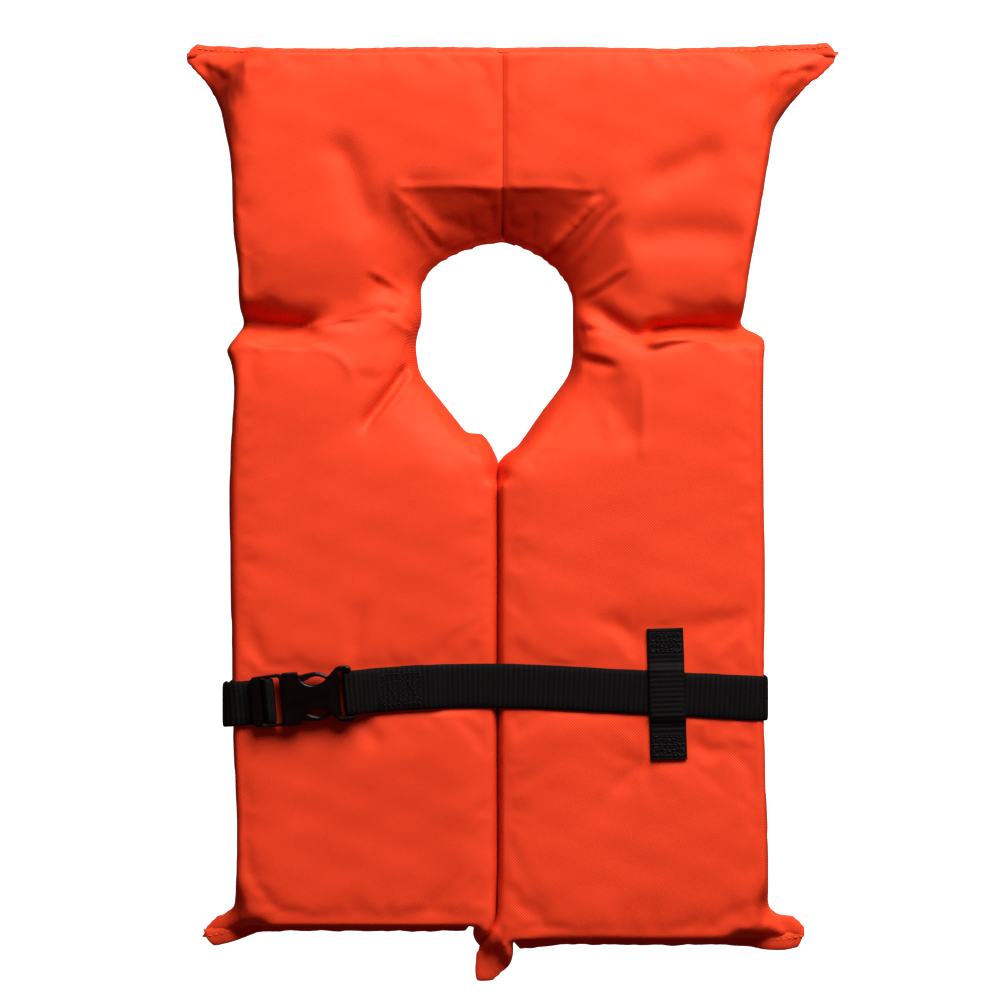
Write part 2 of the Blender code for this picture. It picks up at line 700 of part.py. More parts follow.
def buckle_female(buckle_frame):
    """The half with the mouth: a flat box with a finger notch each side and a bar for the webbing."""
    notch = arc((18.6, 15.6), 9.2, 205, 318, steps=8)
    half = [(0.0, 14.3), (1.0, 15.3), (9.3, 15.0)] + notch
    half += [(29.6, 13.4), (31.4, 15.2), (33.4, 16.0), (38.2, 16.0), (39.7, 15.2), (FEMALE_END, 13.8)]
    slot = both_sides([(END_SLOT[0], WEBBING_SLOT_HALF_WIDTH), (END_SLOT[1], WEBBING_SLOT_HALF_WIDTH)])
    thick = FEMALE_HALF_THICK
    name = "buckle_female"
    made = plate(name, [both_sides(half), slot], -thick, thick, black_plastic(name), buckle_frame)
    bevel(made, 1.0)
    cavity = cutter_box(
        "female_cavity", (-2.0, -CAVITY_HALF_WIDTH, -CAVITY_HALF_THICK),
        (CAVITY_END, CAVITY_HALF_WIDTH, CAVITY_HALF_THICK), buckle_frame,
    )
    boolean(made, cavity, "DIFFERENCE")
    wide = WEBBING_SLOT_HALF_WIDTH
    for word, low, high in (
        ("over", END_BAR_HALF_THICK, thick + 1),
        ("under", -thick - 1, -END_BAR_HALF_THICK),
    ):
        trim = cutter_box(
            f"bar_{word}", (END_SLOT[1] - 0.4, -wide, low), (FEMALE_END + 1, wide, high), buckle_frame
        )
        boolean(made, trim, "DIFFERENCE")


def buckle_male(buckle_frame):
    """The half with the adjuster frame, a bar for the webbing, and the guide into the mouth."""
    guide = [(FRONT_BAR_END, 2.5), (13.0, 2.3), (14.0, 1.2)]
    half = [
        (ADJUSTER_END, 12.6), (ADJUSTER_END + 1.6, 14.4), (-1.2, 15.1), (-0.4, 14.7), (-0.4, 12.9),
        (FRONT_BAR_END, 12.9),
    ] + guide
    wide = WEBBING_SLOT_HALF_WIDTH
    near, far = ADJUSTER_SLOT
    slot = both_sides([(near, wide), (far - 1.0, wide), (far, wide - 1.0)])
    thick = MALE_HALF_THICK
    name = "buckle_male"
    made = plate(name, [both_sides(half), slot], -thick, thick, black_plastic(name), buckle_frame)
    bevel(made, 0.4)
    bm = bmesh.new()
    bmesh.ops.create_cone(
        bm, cap_ends=True, segments=16, radius1=ADJUSTER_BAR_RADIUS, radius2=ADJUSTER_BAR_RADIUS,
        depth=2 * wide + 1.2,
    )
    lay_down = Matrix.Translation((ADJUSTER_BAR_S, 0.0, 0.0)) @ Matrix.Rotation(math.pi / 2, 4, "X")
    bmesh.ops.transform(bm, matrix=lay_down, verts=bm.verts)
    bar = make_cutter(object_from(bm, "adjuster_bar", None, buckle_frame))
    boolean(made, bar, "UNION")


def buckle_arm(name, side, buckle_frame):
    """A springy latch arm: round at its root, with an arched pad that shows in the finger notch."""
    s, y = ARM_PIVOT
    outer = [(11.5, 13.1), (13.0, 13.4), (15.0, 13.65), (17.0, 13.9), (19.6, 14.05), (22.0, 13.6), (24.5, 12.6)]
    inner = [(26.2, 9.2), (24.2, 10.2), (22.0, 11.2), (19.6, 11.6), (17.0, 11.1), (14.6, 9.9), (12.0, 9.1)]
    tip = [(26.5, 11.2), (26.9, 10.2)]
    root = arc((s, y), ARM_ROOT_RADIUS, 270, 90, steps=8)
    outline = [(a, b * side) for a, b in root + outer + tip + inner]
    pivot = (s, y * side, 0.0)
    made = plate(
        name, [outline], -ARM_HALF_THICK, ARM_HALF_THICK, black_plastic(name), buckle_frame, pivot
    )
    bevel(made, 0.6)


# --------------------------------------------------------------------------- build


def build():
    clear_scene()
    left_tip = -(HALF_WIDTH + LIP_GAP + 0.6 + LEFT_EAR_REACH)
    right_tip = HALF_WIDTH + LIP_GAP + 0.6 + RIGHT_EAR_REACH
    far_tip = HEADREST_END_Y + 6.0
    near_tip = -270.6
    jacket = empty("jacket", (-(left_tip + right_tip) / 2, -(far_tip + near_tip) / 2, 0.0))
    fold = empty("headrest_fold", (0.0, FOLD_AXIS_Y, FOLD_AXIS_Z), jacket)
    buckle_frame = empty("buckle", (MOUTH_X, MOUTH_Y, BUCKLE_Z), jacket, (0.0, 0.0, BUCKLE_TILT))

    for name, side, hem_y in (("left_front", -1, LEFT_HEM_Y), ("right_front", 1, RIGHT_HEM_Y)):
        cover(name + "_cover", front_stations(hem_y), side, True, jacket, belted=True)
        front_foam(name, side, hem_y, jacket)
    hem_lips(jacket)

    for name, side in (("headrest_cover_left", -1), ("headrest_cover_right", 1)):
        cover(name, headrest_stations(), side, False, fold)
    headrest_foam(fold)
    headrest_lip(fold)

    sewn_loop_and_belt(jacket)
    keeper_tab(jacket)
    adjuster_run(buckle_frame)
    buckle_female(buckle_frame)
    buckle_male(buckle_frame)
    buckle_arm("buckle_arm_upper", 1, buckle_frame)
    buckle_arm("buckle_arm_lower", -1, buckle_frame)


build()
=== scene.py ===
"""Life jacket: sewn covers, lips, webbing, buckle finishes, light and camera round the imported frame.

Lengths are millimetres in the jacket's own frame, where X = 0 is the slit between the
front sections, Y runs from the hems to the headrest and Z = 0 is the surface below.
place() turns them into metres in the CAD frame.
"""

import math

import bmesh
import bpy
import numpy as np
from mathutils import Matrix, Vector, noise


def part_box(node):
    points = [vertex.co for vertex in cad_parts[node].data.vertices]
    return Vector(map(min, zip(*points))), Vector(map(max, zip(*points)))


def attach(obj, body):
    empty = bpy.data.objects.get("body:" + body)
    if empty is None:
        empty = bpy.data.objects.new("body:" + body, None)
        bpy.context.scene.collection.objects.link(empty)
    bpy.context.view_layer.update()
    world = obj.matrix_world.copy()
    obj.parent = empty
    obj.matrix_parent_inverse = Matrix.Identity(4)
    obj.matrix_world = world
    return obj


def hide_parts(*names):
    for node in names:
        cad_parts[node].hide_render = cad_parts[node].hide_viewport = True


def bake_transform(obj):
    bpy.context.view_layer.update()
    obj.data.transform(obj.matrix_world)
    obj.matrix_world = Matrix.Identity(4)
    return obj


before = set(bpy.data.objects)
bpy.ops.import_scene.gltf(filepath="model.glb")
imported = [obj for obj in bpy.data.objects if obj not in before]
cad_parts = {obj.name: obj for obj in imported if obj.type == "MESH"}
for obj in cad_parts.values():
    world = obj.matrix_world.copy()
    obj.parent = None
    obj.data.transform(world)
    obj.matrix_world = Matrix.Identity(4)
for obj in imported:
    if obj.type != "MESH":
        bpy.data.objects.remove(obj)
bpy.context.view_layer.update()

MM = 0.001

# ---- driving dimensions

THICKNESS = 60.0
MID_Z = THICKNESS / 2
HALF_WIDTH = 154.0
HEADREST_END_Y = 262.0
BACK_SEAM_X = 2.9
NECK_CENTRE_Y = 109.0
RIM = 1.65
SEWN_THIN = 0.5
HALF_FILLED = 5.0
HEM_EAR_Z = 42.0

WEBBING = 1.6
RIB_PITCH = 2.9
BELT_WIDTH = 25.4
LAYER_GAP = 0.4
LOW_LAYER_Z = THICKNESS + LAYER_GAP + WEBBING / 2
HIGH_LAYER_Z = LOW_LAYER_Z + WEBBING + LAYER_GAP
UNDER_LAYER_Z = 0.3 + WEBBING / 2
BUCKLE_TILT = math.radians(5.6)
RIGHT_FALL = math.radians(3.0)
BEND_START_X = -80.0
BEND_END_X = 30.0
BELT_SIDE_X = HALF_WIDTH + LAYER_GAP + WEBBING / 2
BELT_JOIN_X = -99.0
LOOP_END_X = -39.0
TAIL_END_Z = 24.0
TAB_WIDTH = 21.0
TAB_TOP = (96.0, -69.8)
TAB_BOTTOM = (98.4, -145.4)
MOUTH_X = -122.9
MOUTH_Y = -110.5
BUCKLE_Z = 67.0
ADJUSTER_END = -18.0
ADJUSTER_BAR_S = -8.1
ADJUSTER_BAR_RADIUS = 1.3
END_BAR_S = 38.4
END_BAR_HALF_THICK = 1.7
FEMALE_END = 40.2
BOX_INSET = 4.0
BELT_BOX_SPAN = (-66.5, -44.0)
TAB_BOX_SPAN = (2.5, 13.5)
TAB_BOX_HALF = (TAB_WIDTH - BOX_INSET) / 2
STITCH_RISE = WEBBING / 2 + 0.1

TWILL_PITCH = 1.15
YARN_PITCH = 0.8

# How the covers are made: the net and the map over the plan, the cloth and the smoothing after it
NET_STEP = 3.0
MAP_STEP = 1.0
SEAM_STUB = 16.0
CLOTH_FRAMES = 18
CLOTH_CAP = 1.6
WAVES = 14
PINNED_BESIDE_BELT = 15.0
PINNED_PAST_TAB = 5.0
BELT_GAP = 0.35
GROUND_GAP = 0.2
RIM_ROUNDS = 24
UNDERSIDE = 0.7
FRONT_BULGE = 3.6
NECK_BULGE = 2.6
NAPE_BULGE = 1.3

# The slope behind the neck: the foam's edge above it, the seam at its foot, and its two sides
NAPE_TOP_Y = 183.5
NAPE_FOOT = ((-34.7, -17.5, 2.9, 19.6, 32.9), (140.4, 148.4, 154.0, 147.1, 138.5))
NAPE_LEFT = ((144.0, 184.0), (-32.0, -61.5))
NAPE_RIGHT = ((145.0, 179.0), (27.5, 60.0))

# The foam inside, kept clear of the fold between FOLD_CLEAR's two places along Y
FOAM_KEEP = 0.86
FOAM_SCALE = 0.975
FOAM_ROUND = 1.6
FOLD_CLEAR = (80.0, 136.0)

# Light and view, in metres
KEY_DIRECTION = Vector((0.28, 0.78, 0.64)).normalized()
KEY_DISTANCE = 2.6
KEY_SIZE = 2.2
KEY_POWER = 94.0
FILL_STRENGTH = 0.14
FILL_COLOUR = (1.0, 0.42, 0.34, 1.0)
BACKGROUND = 0.95
FLOOR_GLOW = 0.86
VIEW_WIDTH = 0.577
VIEW_CENTRE = (-0.0069, 0.0052)
CAMERA_HEIGHT = 2.6
SUBJECT_Z = 0.05

left_cover_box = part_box("left_front_cover")
right_cover_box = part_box("right_front_cover")
SHIFT_X = (left_cover_box[1].x + right_cover_box[0].x) / 2
SHIFT_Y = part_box("headrest_cover_left")[1].y - HEADREST_END_Y * MM


def place(point):
    """A point or an array of points of the jacket's frame, in metres in the CAD frame."""
    return np.asarray(point, float) * MM + np.array([SHIFT_X, SHIFT_Y, 0.0])


def smoothstep(low, high, value):
    """Rises from 0 at low to 1 at high; high may be the lower number."""
    t = np.clip((value - low) / (high - low), 0.0, 1.0)
    return t * t * (3 - 2 * t)


def mixed(a, b, share):
    return a * (1 - share) + b * share


def bulging(t, power):
    """Rises from 0 to 1, more steeply at first the higher the power."""
    return (1 - (1 - t) ** power) ** (1 / power)


# ---- materials


class Finish:
    """A material with a Principled shader, and short calls for the nodes that feed it."""

    def __init__(self, name):
        self.material = bpy.data.materials.new(name)
        self.material.use_nodes = True
        self.tree = self.material.node_tree
        self.shader = self.tree.nodes["Principled BSDF"]

    def feed(self, socket, value):
        """Links a node's output to a socket, or sets the socket's own value."""
        if isinstance(value, bpy.types.NodeSocket):
            self.tree.links.new(value, socket)
        else:
            socket.default_value = value

    def node(self, kind, inputs=(), **settings):
        made = self.tree.nodes.new(kind)
        for key, value in settings.items():
            setattr(made, key, value)
        for socket, value in dict(inputs).items():
            self.feed(made.inputs[socket], value)
        return made

    def math(self, operation, a, b=0.0, c=0.0):
        return self.node("ShaderNodeMath", {0: a, 1: b, 2: c}, operation=operation).outputs[0]

    def position(self):
        return self.node("ShaderNodeTexCoord").outputs["Object"]

    def along(self, direction):
        """Metres along a direction of the object's own space."""
        return self.node(
            "ShaderNodeVectorMath", {0: self.position(), 1: direction}, operation="DOT_PRODUCT"
        ).outputs["Value"]

    def wave(self, distance, pitch):
        """From 0 to 1 and back over each pitch."""
        turns = self.math("MULTIPLY", distance, 2 * math.pi / pitch)
        return self.math("MULTIPLY_ADD", self.math("SINE", turns), 0.5, 0.5)

    def noise(self, size, detail=2.0):
        """Noise from 0 to 1 with features about size metres across."""
        return self.node(
            "ShaderNodeTexNoise", {"Vector": self.position(), "Scale": 1 / size, "Detail": detail}
        ).outputs["Fac"]

    def ramp(self, value, *stops):
        """Colours at places along value: stops are (place, (r, g, b))."""
        made = self.node("ShaderNodeValToRGB", {"Fac": value})
        for k, (place_on, colour) in enumerate(stops):
            stop = made.color_ramp.elements[k] if k < 2 else made.color_ramp.elements.new(place_on)
            stop.position = place_on
            stop.color = (*colour, 1.0)
        return made.outputs["Color"]

    def mix(self, factor, a, b):
        made = self.node("ShaderNodeMix", data_type="RGBA")
        for socket, value in (("Factor", factor), ("A", a), ("B", b)):
            self.feed(next(s for s in made.inputs if s.name == socket and s.enabled), value)
        return next(s for s in made.outputs if s.enabled)

    def range(self, value, low, high):
        """Value from 0 to 1 stretched to run from low to high."""
        return self.node("ShaderNodeMapRange", {"Value": value, "To Min": low, "To Max": high}).outputs[0]

    def bump(self, height, depth, normal=None):
        """Relief depth metres deep, added to the shader's normal."""
        inputs = {"Height": height, "Distance": depth}
        if normal is not None:
            inputs["Normal"] = normal
        return self.node("ShaderNodeBump", inputs).outputs["Normal"]

    def set(self, **values):
        for name, value in values.items():
            self.feed(self.shader.inputs[name.replace("_", " ")], value)


def twill_nylon(name, lean, tint=1.0):
    """Orange twill: diagonal ribs that lean left or right, finer yarns across them, a soft sheen."""
    cloth = Finish(name)
    rib = cloth.wave(cloth.along((0.707, -0.707 * lean, 0.2)), TWILL_PITCH * MM)
    yarn = cloth.wave(cloth.along((0.707, 0.707 * lean, -0.15)), YARN_PITCH * MM)
    weave = cloth.math("ADD", cloth.math("MULTIPLY", rib, 0.65), cloth.math("MULTIPLY", yarn, 0.35))
    shade = cloth.ramp(
        weave,
        (0.1, (0.66 * tint, 0.066 * tint, 0.024 * tint)),
        (0.9, (0.80 * tint, 0.112 * tint, 0.040 * tint)),
    )
    fading = cloth.range(cloth.noise(60 * MM), 0.0, 0.5)
    faded = cloth.mix(fading, shade, (0.79 * tint, 0.094, 0.033, 1))
    wear = cloth.range(cloth.noise(4 * MM, 4), 0.0, 0.22)
    worn = cloth.mix(wear, faded, (0.66 * tint, 0.062, 0.020, 1))
    relief = cloth.bump(weave, 0.10 * MM)
    relief = cloth.bump(cloth.noise(9 * MM, 3), 0.12 * MM, relief)
    cloth.set(Base_Color=worn, Roughness=cloth.range(weave, 0.72, 0.58), Normal=relief)
    cloth.set(Sheen_Weight=0.06, Sheen_Roughness=0.4, Sheen_Tint=(1.0, 0.45, 0.3, 1.0))
    cloth.set(Specular_IOR_Level=0.3)
    return cloth.material


def closed_cell_foam(name):
    """Off-white foam with fine cells and faint yellowing."""
    foam = Finish(name)
    cell_scale = 1 / (1.2 * MM)
    cells = foam.node("ShaderNodeTexVoronoi", {"Vector": foam.position(), "Scale": cell_scale}).outputs[0]
    colour = foam.ramp(foam.noise(40 * MM, 3), (0.3, (0.80, 0.79, 0.72)), (0.7, (0.88, 0.87, 0.83)))
    foam.set(Base_Color=colour, Roughness=foam.range(cells, 0.85, 0.7), Normal=foam.bump(cells, 0.12 * MM))
    return foam.material


def black_webbing(name):
    """Woven polypropylene: ribs across the strap, chevrons along it, and painted shade in the grooves
    between the ribs. The UV map is in metres.
    """
    web = Finish(name)
    uv = web.node("ShaderNodeSeparateXYZ", {0: web.node("ShaderNodeUVMap").outputs["UV"]})
    across, along = uv.outputs["X"], uv.outputs["Y"]
    fold = web.math("PINGPONG", across, 1.6 * MM)
    rib = web.wave(web.math("ADD", along, web.math("MULTIPLY", fold, 0.8)), 1.5 * MM)
    yarn = web.wave(across, 1.06 * MM)
    weave = web.math("MULTIPLY", rib, web.math("MULTIPLY_ADD", yarn, 0.5, 0.5))
    # Painted shade and highlight: the colour is darker in the grooves between the modelled ribs and lighter
    # on their crests
    painted_rib_shade = web.wave(web.math("ADD", along, RIB_PITCH / 4 * MM), RIB_PITCH * MM)
    weave = web.math("MULTIPLY", weave, web.math("MULTIPLY_ADD", painted_rib_shade, 0.8, 0.2))
    colour = web.ramp(weave, (0.0, (0.0008, 0.0008, 0.0009)), (0.75, (0.019, 0.0185, 0.019)))
    dusty = web.mix(web.range(web.noise(12 * MM, 4), 0.0, 0.25), colour, (0.009, 0.0085, 0.009, 1))
    web.set(Base_Color=dusty, Roughness=web.range(weave, 0.75, 0.5), Normal=web.bump(weave, 0.22 * MM))
    web.set(Sheen_Weight=0.015, Sheen_Roughness=0.5, Specular_IOR_Level=0.25)
    return web.material


def moulded_acetal(name):
    """Satin black plastic with a fine spark-eroded grain and slightly rubbed high spots."""
    plastic = Finish(name)
    grain = plastic.noise(0.5 * MM, 3)
    rubbed = plastic.noise(7 * MM, 4)
    colour = plastic.ramp(rubbed, (0.35, (0.0016, 0.0016, 0.0018)), (0.75, (0.0060, 0.0060, 0.0066)))
    rounded = plastic.node("ShaderNodeBevel", {"Radius": 1.7 * MM}).outputs[0]
    plastic.set(Base_Color=colour, Roughness=plastic.range(rubbed, 0.16, 0.28))
    plastic.set(Normal=plastic.bump(grain, 0.02 * MM, rounded), Specular_IOR_Level=0.6)
    return plastic.material


def thread(name, colour):
    """Twisted sewing thread."""
    yarn = Finish(name)
    twist = yarn.wave(yarn.along((0.8, 0.5, 0.3)), 0.35 * MM)
    dark = tuple(0.6 * c for c in colour)
    yarn.set(Base_Color=yarn.ramp(twist, (0.0, dark), (1.0, colour)), Roughness=yarn.range(twist, 0.7, 0.5))
    yarn.set(Normal=yarn.bump(twist, 0.05 * MM))
    return yarn.material


LEFT_CLOTH = twill_nylon("left_twill", 1)
RIGHT_CLOTH = twill_nylon("right_twill", -1)
LIP_CLOTH = twill_nylon("lip_twill", 1, 0.95)
FOAM = closed_cell_foam("closed_cell_foam")
STRAP = black_webbing("black_webbing")
ACETAL = moulded_acetal("black_acetal")
ORANGE_THREAD = thread("orange_thread", (1.0, 0.26, 0.06))
BLACK_THREAD = thread("black_thread", (0.012, 0.012, 0.013))


# ---- mesh helpers


def linked(name, data):
    """An object with this data, in the scene."""
    made = bpy.data.objects.new(name, data)
    bpy.context.scene.collection.objects.link(made)
    return made


def object_of(name, points, faces, material):
    """A mesh object of jacket points, placed in the CAD frame."""
    mesh = bpy.data.meshes.new(name)
    mesh.from_pydata(place(points).tolist(), [], [tuple(f) for f in faces])
    mesh.materials.append(material)
    mesh.shade_smooth()
    return linked(name, mesh)


def object_from(bm, name, material):
    """A mesh object of a bmesh that is already in the CAD frame."""
    mesh = bpy.data.meshes.new(name)
    bm.to_mesh(mesh)
    bm.free()
    mesh.materials.append(material)
    mesh.shade_smooth()
    return linked(name, mesh)


def fix_normals(made, weld=0.0):
    """Turns faces outwards, once points less than weld metres apart are made one."""
    bm = bmesh.new()
    bm.from_mesh(made.data)
    if weld:
        bmesh.ops.remove_doubles(bm, verts=bm.verts, dist=weld)
    bmesh.ops.recalc_face_normals(bm, faces=bm.faces)
    bm.to_mesh(made.data)
    bm.free()


def tube_faces(rings, count):
    """Quads between closed rings of count points each, and a face over each end."""
    faces = []
    for k in range(rings - 1):
        for m in range(count):
            a, b = k * count + m, k * count + (m + 1) % count
            faces.append((a, b, b + count, a + count))
    last = (rings - 1) * count
    return faces + [tuple(reversed(range(count))), tuple(range(last, last + count))]


def distances(points):
    """How far along a run of points each of them is."""
    return np.concatenate([[0], np.cumsum(np.linalg.norm(np.diff(points, axis=0), axis=1))])


def coordinates(mesh):
    """Vertex positions of a mesh in the jacket's frame."""
    co = np.empty(len(mesh.vertices) * 3, np.float32)
    mesh.vertices.foreach_get("co", co)
    return (co.reshape(-1, 3).astype(float) - np.array([SHIFT_X, SHIFT_Y, 0.0])) / MM


def set_coordinates(mesh, points):
    mesh.vertices.foreach_set("co", place(points).astype(np.float32).ravel())
    mesh.update()


def subdivide(made):
    """Applies one round of Catmull-Clark subdivision."""
    modifier = made.modifiers.new("smooth", "SUBSURF")
    modifier.levels = modifier.render_levels = 1
    seen = made.evaluated_get(bpy.context.evaluated_depsgraph_get())
    fresh = bpy.data.meshes.new_from_object(seen)
    old = made.data
    made.modifiers.clear()
    made.data = fresh
    fresh.name = old.name
    bpy.data.meshes.remove(old)
    made.data.shade_smooth()


def curve_through(points, spacing=2.0):
    """A smooth run of points through given ones (Catmull-Rom), about spacing apart.

    A point with a third value "corner" keeps its corner.
    """
    xy = np.array([p[:2] for p in points], float)
    corner = [len(p) > 2 and p[2] == "corner" for p in points]
    out = [xy[0]]
    for k in range(len(xy) - 1):
        a, b = xy[k], xy[k + 1]
        before = a - (b - a) if k == 0 or corner[k] else xy[k - 1]
        after = b + (b - a) if k + 2 == len(xy) or corner[k + 1] else xy[k + 2]
        steps = max(1, int(round(np.linalg.norm(b - a) / spacing)))
        for s in range(1, steps + 1):
            t = s / steps
            out.append(
                0.5 * (2 * a + (b - before) * t + (2 * before - 5 * a + 4 * b - after) * t**2
                       + (3 * a - before - 3 * b + after) * t**3)
            )
    return np.array(out)


def nearest_on_line(xy, line, chunk=20000):
    """Each point's distance to a polyline, how far along it the nearest place is, and the side."""
    a, d = line[:-1], np.diff(line, axis=0)
    squared = np.maximum((d**2).sum(1), 1e-9)
    lengths = np.sqrt(squared)
    starts = np.concatenate([[0], np.cumsum(lengths)])
    parts = []
    for low in range(0, len(xy), chunk):
        x, y = xy[low:low + chunk, 0, None], xy[low:low + chunk, 1, None]
        rx, ry = x - a[:, 0], y - a[:, 1]
        t = np.clip((rx * d[:, 0] + ry * d[:, 1]) / squared, 0, 1)
        gap = (rx - t * d[:, 0]) ** 2 + (ry - t * d[:, 1]) ** 2
        k = gap.argmin(1)
        rows = np.arange(len(k))
        cross = d[k, 0] * ry[rows, k] - d[k, 1] * rx[rows, k]
        along = (starts[k] + t[rows, k] * lengths[k]) / starts[-1]
        parts.append((np.sqrt(gap[rows, k]), along, np.sign(cross)))
    return tuple(np.concatenate(column) for column in zip(*parts))


def inside(xy, polygon):
    """Whether each point lies in a closed polygon."""
    x, y = xy[:, 0], xy[:, 1]
    odd = np.zeros(len(xy), bool)
    for (ax, ay), (bx, by) in zip(polygon, np.roll(polygon, -1, axis=0)):
        if ay == by:
            continue
        crosses = (ay > y) != (by > y)
        odd ^= crosses & (x < ax + (y - ay) * (bx - ax) / (by - ay))
    return odd


def surface_net(values, origin, step):
    """Quads round the region where a grid's values are negative, one vertex a crossed cell."""
    shape = np.array(values.shape) - 1
    total = np.zeros((*shape, 3))
    count = np.zeros(shape)
    edges = []
    for axis in range(3):
        u, v = (axis + 1) % 3, (axis + 2) % 3
        low, high = [slice(None)] * 3, [slice(None)] * 3
        low[axis], high[axis] = slice(0, -1), slice(1, None)
        a, b = values[tuple(low)], values[tuple(high)]
        cut = (a < 0) != (b < 0)
        t = np.where(cut, a / np.where(cut, a - b, 1.0), 0.0)
        edges.append((a, cut))
        for du in (0, 1):
            for dv in (0, 1):
                part = [slice(None)] * 3
                part[u], part[v] = slice(du, du + shape[u]), slice(dv, dv + shape[v])
                here = cut[tuple(part)]
                total[..., axis] += t[tuple(part)]
                total[..., u] += here * du
                total[..., v] += here * dv
                count += here
    used = count > 0
    ids = np.full(shape, -1)
    ids[used] = np.arange(used.sum())
    points = origin + step * (np.argwhere(used) + total[used] / count[used][:, None])
    faces = []
    for axis, (a, cut) in enumerate(edges):
        u, v = (axis + 1) % 3, (axis + 2) % 3
        part = [slice(None)] * 3
        part[u], part[v] = slice(1, -1), slice(1, -1)
        at = np.argwhere(cut[tuple(part)])
        outward = a[tuple(part)][tuple(at.T)] < 0
        step_u, step_v = np.eye(3, dtype=int)[u], np.eye(3, dtype=int)[v]
        corners = (0 * step_u, step_u, step_u + step_v, step_v)
        quad = np.stack([ids[tuple((at + corner).T)] for corner in corners], 1)
        quad[~outward] = quad[~outward][:, ::-1]
        faces.append(quad)
    return points, np.concatenate(faces)


# ---- the outline of the covers


TOP_LEFT = [
    (BACK_SEAM_X, 263.6), (-40, 264.2), (-90, 263.2), (-135, 263.6), (-165, 264.6),
    (-182.5, 266.4, "corner"),
]
TOP_RIGHT = [
    (BACK_SEAM_X, 263.6), (45, 264.2), (95, 263.2), (140, 264.2), (175, 265.4), (199.0, 267.0, "corner"),
]
LEFT_SIDE = [
    (-183.0, 260.6), (-176.5, 252.4), (-168.5, 244.0), (-161.5, 232), (-158.4, 218.7), (-155.6, 206),
    (-154, 190), (-153, 160), (-150, 136), (-149.5, 115), (-147, 107), (-150, 101), (-157.3, 90.5),
    (-154.5, 84), (-152.5, 68), (-154, 45), (-155.3, 15), (-155, -35), (-154, -75), (-153.6, -110),
    (-152.6, -145), (-151.0, -180), (-151.2, -212),
]
RIGHT_SIDE = [
    (198.0, 260.8), (190.0, 252.4), (181, 244.2), (172.5, 236), (165, 227), (160.6, 219), (157.7, 205),
    (154, 183), (150.4, 161), (147.5, 146), (145, 131.6), (143, 116), (141.4, 105.5), (149.5, 101),
    (154.8, 97.0), (154.4, 89), (153.6, 60), (153.9, 17), (154.6, -35), (154.3, -85), (154.0, -112),
    (154.8, -150), (156.4, -195), (156.5, -228),
]
LEFT_HEM = [
    (-152.6, -232.4, "corner"), (-162, -236.2), (-168.4, -241.6), (-171.4, -246.8),
    (-171.2, -249.6, "corner"), (-163.5, -248.6), (-152, -245.8), (-144.5, -243.6), (-138, -242.6),
    (-110, -242.2), (-60, -242.4), (-14, -242.6), (-12.6, -243.4, "corner"), (-14.6, -247.8),
    (-13.2, -252.6), (-9.4, -258.0, "corner"), (-4.4, -254), (-2.4, -248), (-1.2, -242),
]
RIGHT_HEM = [
    (156.5, -233.0, "corner"), (168.5, -235.6), (176.5, -241.2), (179.4, -248.8, "corner"), (171, -250.2),
    (163, -251.2), (156, -251.0), (147, -250.2), (125, -249.8), (100, -250.2), (60, -249.8), (20, -249.8),
    (9.6, -250.2), (7.6, -250.6, "corner"), (9.0, -254.0), (8.0, -262.2), (3.7, -269.0), (-3.2, -274.1),
    (-10.6, -276.0, "corner"), (-14.4, -270.1), (-14.2, -263), (-11.4, -254.6), (-6.0, -245.6),
    (-0.8, -236),
]
LEFT_SLIT = [
    (0.2, -236), (0.5, -224), (0.6, -200), (0.3, -120), (0.6, -40), (0.3, 10), (0.2, 27, "corner"),
]
RIGHT_SLIT = [
    (-0.5, -220), (-0.2, -180), (-0.5, -100), (-0.2, -20), (-0.2, 25, "corner"),
]
LEFT_NECK = [
    (-5.5, 38.4), (-10.8, 43.0), (-17.5, 42.2, "corner"), (-33.4, 62.3), (-44.4, 76.5), (-46.8, 86),
    (-47.4, 95.4), (-45.9, 102), (-44.1, 108.6), (-44.3, 122), (-43.6, 129.4), (-34.7, 140.4),
    (-17.5, 148.4), (BACK_SEAM_X, 154.0),
]
RIGHT_NECK = [
    (4.6, 30.5), (10.8, 34.6), (11.9, 35.6, "corner"), (26.3, 56.3), (39.5, 74.2), (43.4, 86),
    (43.6, 106), (42.8, 122), (39.5, 129.8), (32.9, 138.5), (19.6, 147.1), (BACK_SEAM_X, 154.0),
]

# Where foam holds the cover up: its flat faces end here
LEFT_FRONT_FOAM = [
    (-147.5, -239.2), (-146.5, 89), (-120, 92), (-102, 92), (-88, 78), (-77, 24.5), (-6.6, 21.5),
    (-6.4, -239.4),
]
RIGHT_FRONT_FOAM = [
    (151.0, -247.0), (149, 92), (124, 95), (106, 96), (94, 90), (86, 77), (82.5, 24.5), (6.8, 21.5),
    (6.8, -247.4),
]
LEFT_HEADREST_FOAM = [
    (26, 258.5), (-142, 258.5), (-149, 247), (-147, 215), (-145, 124), (-120, 117), (-98, 118),
    (-80, 130), (-78, 168), (-64, 184), (26, 184),
]
RIGHT_HEADREST_FOAM = [
    (-20, 258.5), (146, 258.5), (153, 248), (149, 215), (139, 122), (118, 117), (98, 118), (80, 130),
    (75, 165), (61, 184), (-20, 184),
]


